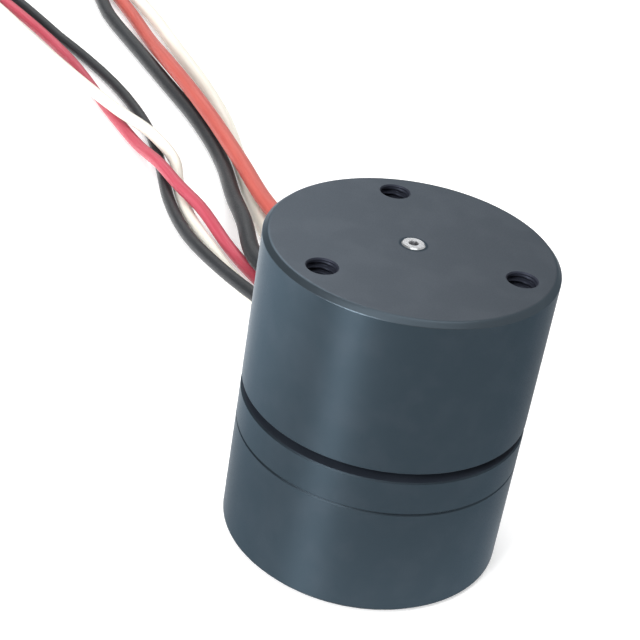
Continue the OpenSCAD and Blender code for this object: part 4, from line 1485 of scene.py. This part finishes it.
@dataclass
class Rotor:
    """The bell with its threaded holes, and the flux ring, magnets, shaft and holder that turn with it."""

    radius: float = 12.5
    inner: float = 11.5
    bottom: float = 14.7
    top: float = 29.0
    cap: float = 2.5
    boss: float = 1.9
    boss_height: float = 2.3
    bore: float = 1.01
    proud: float = 0.1
    ring_step: float = 0.5
    ring_top: float = 25.01
    rim: float = 0.45
    seam: float = 0.12
    sides: int = 256
    corner_steps: int = 4
    crease: float = 40.0
    hole_circle: float = 9.5
    hole_turns: tuple[float, ...] = (-15.0, 105.0, 225.0)
    hole_minor: float = 1.25
    hole_major: float = 1.5
    hole_pitch: float = 0.5
    past: float = 0.3
    margin: float = 0.05
    level_from: float = 0.99
    slope_from: float = 0.1

    def spots(self) -> list[tuple[float, float]]:
        """Return the middles of the output holes."""
        turns = np.radians(self.hole_turns)
        return [(self.hole_circle * math.cos(a), self.hole_circle * math.sin(a)) for a in turns]

    def bell(self) -> Piece:
        """Make the bell by turning its profile, with every corner rounded, and cut the threads.

        Returns:
            The bell.
        """
        ceiling = self.top - self.cap
        boss_z = ceiling - self.boss_height
        step = self.inner - self.ring_step
        corners = np.array([
            [self.bore, boss_z], [self.boss, boss_z], [self.boss, ceiling], [step, ceiling],
            [step, self.ring_top], [self.inner, self.ring_top],
            [self.inner, self.bottom + self.seam], [self.inner + self.seam, self.bottom],
            [self.radius - self.seam, self.bottom], [self.radius, self.bottom + self.seam],
            [self.radius, self.top - self.rim], [self.radius - self.rim, self.top], [self.bore, self.top],
        ])
        soft = np.array([0.04, 0.1, 0.15, 0.1, 0.05, 0.05, 0.03, 0.03, 0.03, 0.03, 0.05, 0.15, 0.03])
        profile = rounded(corners, soft, self.corner_steps)
        bell = make_object("bell_shell", revolve(profile, self.sides, closed=True), self.crease)
        thread = Thread(
            self.hole_minor, self.hole_major, self.hole_pitch, ceiling - self.past, self.top + self.past,
            self.top, True,
        )
        carve(bell, [thread.cutter(x, y, 0.0) for x, y in self.spots()], self.crease)
        return bell

    def _accents(self, bell: Piece, wardrobe: Wardrobe) -> None:
        """Give the bell's upper rim, its end face and its threads their own finishes, with painted light and
        shade on each.

        Args:
            bell: the dressed bell.
            wardrobe: where the finishes come from.
        """
        upward, middle = measure_faces(bell)
        x, y, z = middle.T
        rim = (upward > self.slope_from) & (z > self.top - self.rim - 2 * self.margin)
        wardrobe.accent(bell, RIM, rim)
        flat = (upward > self.level_from) & (z > self.top - self.margin)
        # The end face is a lighter copy of the anodising: painted light on the top; its rim round the bore
        # paints shade round the shaft.
        face = AnodisedFinish(
            "anodised_face", srgb(70, 75, 81), srgb(74, 79, 85), ((self.bore, self.top, 0.28),),
            roughness=(0.42, 0.5),
        )
        wardrobe.accent(bell, face, flat)
        for hole_x, hole_y in self.spots():
            near = np.hypot(x - hole_x, y - hole_y) < self.hole_major + self.margin
            wardrobe.accent(bell, THREAD, near & ~flat & (z > self.top - self.cap - self.margin))

    def build(self, wardrobe: Wardrobe) -> None:
        """Make the bell and the shaft, and dress what turns with them.

        Args:
            wardrobe: where the finishes come from.
        """
        bell = self.bell()
        wardrobe.fit(bell, BELL, "rotor_bell", "rotor")
        self._accents(bell, wardrobe)
        # The shaft's end gets a dark dot on the axis: painted shade in its centre hole.
        ends = MetalFinish(
            "shaft_steel", Skin.POLISHED, srgb(186, 188, 190), srgb(168, 170, 174), 0.2,
            rims=((0.0, self.top + self.proud, 0.5),),
        )
        shaft = merged_copy(wardrobe.nodes["motor_shaft"], "shaft_bar")
        wardrobe.fit(shaft, ends, "motor_shaft", "rotor")
        wardrobe.dress_nodes(DULL, "flux_ring", "shaft_shim", "spring_washer", "retaining_clip")
        wardrobe.dress_nodes(PLATED, "rotor_magnets", "encoder_magnet")
        wardrobe.dress_nodes(BRASS, "magnet_holder")
        LOG.info("rotor: bell, shaft, ring and magnets")


@dataclass
class Bearings:
    """The two ball bearings."""

    names: tuple[str, ...] = ("upper_bearing", "lower_bearing")

    def build(self, wardrobe: Wardrobe) -> None:
        """Dress the races, balls, cages and shields.

        Args:
            wardrobe: where the finishes come from.
        """
        for name in self.names:
            wardrobe.dress_nodes(POLISHED, f"{name}_inner_race", f"{name}_outer_race", f"{name}_balls")
            wardrobe.dress_nodes(BRASS, f"{name}_cage")
            wardrobe.dress_nodes(DULL, f"{name}_shields")
        LOG.info("bearings: %d dressed", len(self.names))


@dataclass
class Stator:
    """The laminated core, its insulators and the coils of the three phases."""

    teeth: int = 12
    phases: tuple[str, ...] = ("winding_phase_a", "winding_phase_b", "winding_phase_c")
    inner: float = 4.95
    outer: float = 7.90
    clear: float = 0.08
    tooth_half: float = 0.92
    stack_half: float = 4.52
    tooth_corner: float = 0.1
    middle: float = 20.1
    half_height: float = 5.2
    corner: float = 0.45
    corner_steps: int = 6
    turns: int = 11
    points_in_turn: int = 5
    sunk_share: float = 0.3
    crease: float = 60.0

    def _loop(self, half_width: Array, half_height: Array, corner: float) -> Array:
        """Draw rounded rectangles, one for each pair of half sizes, with the same count of points.

        Args:
            half_width: half the width of each rectangle.
            half_height: half the height of each.
            corner: the radius of their corners.

        Returns:
            An array of rectangles by points by two coordinates.
        """
        angle = np.linspace(0.0, QUARTER_TURN, self.corner_steps + 1)
        quarter = np.stack([np.cos(angle), np.sin(angle)], axis=-1) * corner
        sides = []
        for k, (sx, sz) in enumerate(((1, 1), (-1, 1), (-1, -1), (1, -1))):
            c, s = round(math.cos(k * QUARTER_TURN)), round(math.sin(k * QUARTER_TURN))
            arc = quarter @ np.array([[c, s], [-s, c]])
            centre = np.stack([sx * (half_width - corner), sz * (half_height - corner)], axis=-1)
            sides.append(centre[:, None] + arc[None])
        arcs = np.stack(sides, axis=1)
        share = np.linspace(0.0, 1.0, self.corner_steps, endpoint=False)[1:, None]
        ends, starts = arcs[:, :, -1:], np.roll(arcs, -1, axis=1)[:, :, :1]
        runs = ends * (1 - share) + starts * share
        return np.concatenate([arcs, runs], axis=2).reshape(len(half_width), -1, 2)

    def coil(self) -> Surface:
        """Make the coil of the tooth on the X axis.

        Its outside is a loop round the tooth at each radius x, drawn in between two turns of wire by
        r - sqrt(r^2 - d^2), where d is the way to the nearest wire's middle. The wire climbs by one
        pitch in a loop. The inside is the loop that clears the tooth and its insulators.

        Returns:
            The coil's closed surface.
        """
        rows = self.turns * self.points_in_turn + 1
        x = np.linspace(self.inner, self.outer, rows)
        wide = x * math.tan(math.pi / self.teeth) - self.clear
        loops = self._loop(wide, np.full(rows, self.half_height), self.corner)
        count = loops.shape[1]
        pitch = (self.outer - self.inner) / self.turns
        phase = ((x[:, None] - self.inner) / pitch + np.arange(count)[None, :] / count) % 1.0
        away = (phase - 0.5) * pitch
        sunk = pitch / 2 - np.sqrt(np.maximum((pitch / 2) ** 2 - away**2, 0.0))
        sunk = np.minimum(sunk, self.sunk_share * pitch)
        outside = loops * (1 - sunk[..., None] / np.linalg.norm(loops, axis=-1, keepdims=True))
        inside = self._loop(np.full(2, self.tooth_half), np.full(2, self.stack_half), self.tooth_corner)
        flat = np.concatenate([outside, inside, outside[:1]])
        along = np.concatenate([x, [self.outer, self.inner], x[:1]])
        rings = np.concatenate([np.broadcast_to(along[:, None, None], (*flat.shape[:2], 1)), flat], axis=-1)
        rings[..., 2] += self.middle
        return Surface.over(rings)

    def build(self, wardrobe: Wardrobe) -> None:
        """Make the coils and dress the core and insulators.

        Args:
            wardrobe: where the finishes come from.
        """
        coil = self.coil()
        for phase, name in enumerate(self.phases):
            teeth = range(phase, self.teeth, len(self.phases))
            whole = joined([coil.placed(tooth * 360 / self.teeth) for tooth in teeth])
            wardrobe.fit(make_object(f"{name}_coils", whole, self.crease), EnamelledWireFinish(), name)
        wardrobe.dress_nodes(SheetStackFinish(), "stator_core")
        wardrobe.dress_nodes(LIGHT_NYLON, "upper_insulator", "lower_insulator")
        LOG.info("stator: %d coils of %d turns a layer", self.teeth, self.turns)


@dataclass
class Shell:
    """The stator's base with the band, and the rear housing with its threads and screws."""

    radius: float = 12.5
    seam_z: float = 10.6
    band_top: float = 13.85
    foot: float = 0.5
    mount_circle: float = 8.0
    mount_minor: float = 1.025
    mount_major: float = 1.25
    mount_pitch: float = 0.45
    mount_depth: float = 2.6
    past: float = 0.4
    short: float = 0.05
    spare: float = 0.02
    crease: float = 28.0
    chamfer: float = 0.15
    slopes: tuple[float, float] = (0.3, 0.9)

    def _edge(self, piece: Piece, top: float, wardrobe: Wardrobe) -> None:
        """Give the chamfer at a piece's top its own finish, a darker copy of the anodising: painted shade
        along the edge.

        Args:
            piece: the dressed piece.
            top: the height where the chamfer ends.
            wardrobe: where the finishes come from.
        """
        upward, middle = measure_faces(piece)
        steep, level = self.slopes
        chosen = (middle[:, 2] > top - self.chamfer) & (upward > steep) & (upward < level)
        wardrobe.accent(piece, EDGE, chosen)

    def build(self, wardrobe: Wardrobe) -> None:
        """Shade the base and the housing smooth, cut the mounting threads and dress both.

        Args:
            wardrobe: where the finishes come from.
        """
        base = merged_copy(wardrobe.nodes["stator_base"], "base_with_band")
        # The band's rim paints shade along the seam with the housing.
        band = AnodisedFinish("anodised_band", rims=((self.radius, self.seam_z, 0.2),), anisotropic=0.8)
        wardrobe.fit(base, band, "stator_base")
        # The ledge under the bell gets a less metallic copy of the anodising: painted light in the gap's
        # shade.
        upward, middle = measure_faces(base)
        flat = (middle[:, 2] > self.band_top - self.chamfer) & (upward > self.slopes[1])
        wardrobe.accent(base, LEDGE, flat)
        self._edge(base, self.band_top, wardrobe)
        housing = merged_copy(wardrobe.nodes["rear_housing"], "housing_cup", self.crease)
        thread = Thread(
            self.mount_minor, self.mount_major, self.mount_pitch, -self.past, self.mount_depth - self.short,
            0.0, False,
        )
        away = self.mount_circle
        spots = [(away, 0), (0, away), (-away, 0), (0, -away)]
        carve(housing, [thread.cutter(x, y, self.spare) for x, y in spots], self.crease)
        # The housing's rim paints shade along its foot chamfer, in a darker colour than the band's.
        cup = AnodisedFinish(
            "anodised_housing", rims=((self.radius - self.foot / 2, self.foot / 2, 0.44),),
            rim_shade_colour=srgb(34, 40, 45), anisotropic=0.8,
        )
        wardrobe.fit(housing, cup, "rear_housing")
        self._edge(housing, self.seam_z, wardrobe)
        wardrobe.dress_nodes(DULL, "housing_screws")
        LOG.info("shell: base and housing")


@dataclass
class Encoder:
    """The encoder's board, chip, components and screws."""

    def build(self, wardrobe: Wardrobe) -> None:
        """Dress the encoder's nodes.

        Args:
            wardrobe: where the finishes come from.
        """
        wardrobe.dress_nodes(CircuitBoardFinish(), "encoder_board")
        wardrobe.dress_nodes(RESIN, "encoder_chip", "board_components")
        wardrobe.dress_nodes(POLISHED, "board_screws")
        LOG.info("encoder: board dressed")


@dataclass
class Grommet:
    """The rubber grommet and the ends of the leads inside the motor."""

    bend_y: float = 8.3
    bend: float = 1.3
    bend_points: int = 9
    top_z: float = 14.55
    stops: tuple[float, float] = (10.0, 8.0)
    sides: int = 20
    joint_y: float = 7.6
    joint_foot: float = 0.8
    joint_neck: float = 0.4
    joint_power: float = 2.2
    joint_rise: float = 0.4
    joint_dome: float = 0.12
    joint_tip: float = 0.001
    joint_points: int = 9
    joint_crease: float = 60.0
    board_top: float = 5.028

    def _phase_tail(self, x: float) -> Array:
        """Find the line of a phase lead's end: straight in, then a quarter turn up to the windings.

        Args:
            x: the lead's place in the grommet.

        Returns:
            The line's points.
        """
        angle = np.linspace(0.0, QUARTER_TURN, self.bend_points)
        y, z = self.bend_y - self.bend * np.sin(angle), PHASE_LEADS.z + self.bend * (1 - np.cos(angle))
        bend = np.stack([np.full(self.bend_points, x), y, z], axis=-1)
        start = [x, PHASE_LEADS.start_y, PHASE_LEADS.z]
        return np.vstack([start, bend, [x, self.bend_y - self.bend, self.top_z]])

    def _sensor_tail(self, x: float) -> Array:
        """Return the line of a sensor lead's end, straight in to its soldered joint."""
        return np.array([[x, y, SENSOR_LEADS.z] for y in (SENSOR_LEADS.start_y, *self.stops)])

    def _joints(self) -> Surface:
        """Make the three soldered joints: cones whose side is drawn in like a fillet.

        At the share t of its height a cone's radius is foot - neck (1 - (1 - t)^power).

        Returns:
            The three cones as one surface.
        """
        t = np.linspace(0.0, 1.0, self.joint_points)
        height = SENSOR_LEADS.z + self.joint_rise - self.board_top
        radius = self.joint_foot - self.joint_neck * (1 - (1 - t) ** self.joint_power)
        side = np.stack([radius, self.board_top + height * t], axis=-1)
        tip = self.board_top + height + self.joint_dome
        profile = np.vstack([[self.joint_tip, self.board_top], side, [self.joint_tip, tip]])
        joint, pitch = revolve(profile, self.sides), SENSOR_LEADS.pitch
        return joined([joint.placed(shift=(x, self.joint_y, 0.0)) for x in (-pitch, 0.0, pitch)])

    def build(self, wardrobe: Wardrobe) -> None:
        """Make the leads' ends and their joints, and dress the grommet.

        Args:
            wardrobe: where the finishes come from.
        """
        wardrobe.fit(merged_copy(wardrobe.nodes["lead_grommet"], "grommet_body"), RUBBER, "lead_grommet")
        for group, tail_line in ((PHASE_LEADS, self._phase_tail), (SENSOR_LEADS, self._sensor_tail)):
            for x, lead in reversed(group.placed_leads()):
                surface = tube(tail_line(x), group.radius, self.sides, (1.0, 0.0, 0.0))
                tail = make_object(f"{group.name}_tail_{lead.colour}", surface)
                wardrobe.fit(tail, lead.finish, f"{group.name}_lead_tails")
        joints = make_object("solder_joints", self._joints(), self.joint_crease)
        wardrobe.fit(joints, SOLDER, "sensor_lead_tails")
        LOG.info("grommet: body and six tails")


def main() -> None:
    """Build the scene in order."""
    logging.basicConfig(level=logging.INFO, format="%(name)s %(message)s")
    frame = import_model()
    wardrobe = Wardrobe(frame["nodes"])
    PhotoCamera().build()
    for assembly in (LeadSet(), Rotor(), Bearings(), Stator(), Shell(), Encoder(), Grommet()):
        assembly.build(wardrobe)
    Studio().build()


if __name__ == "__main__":
    main()
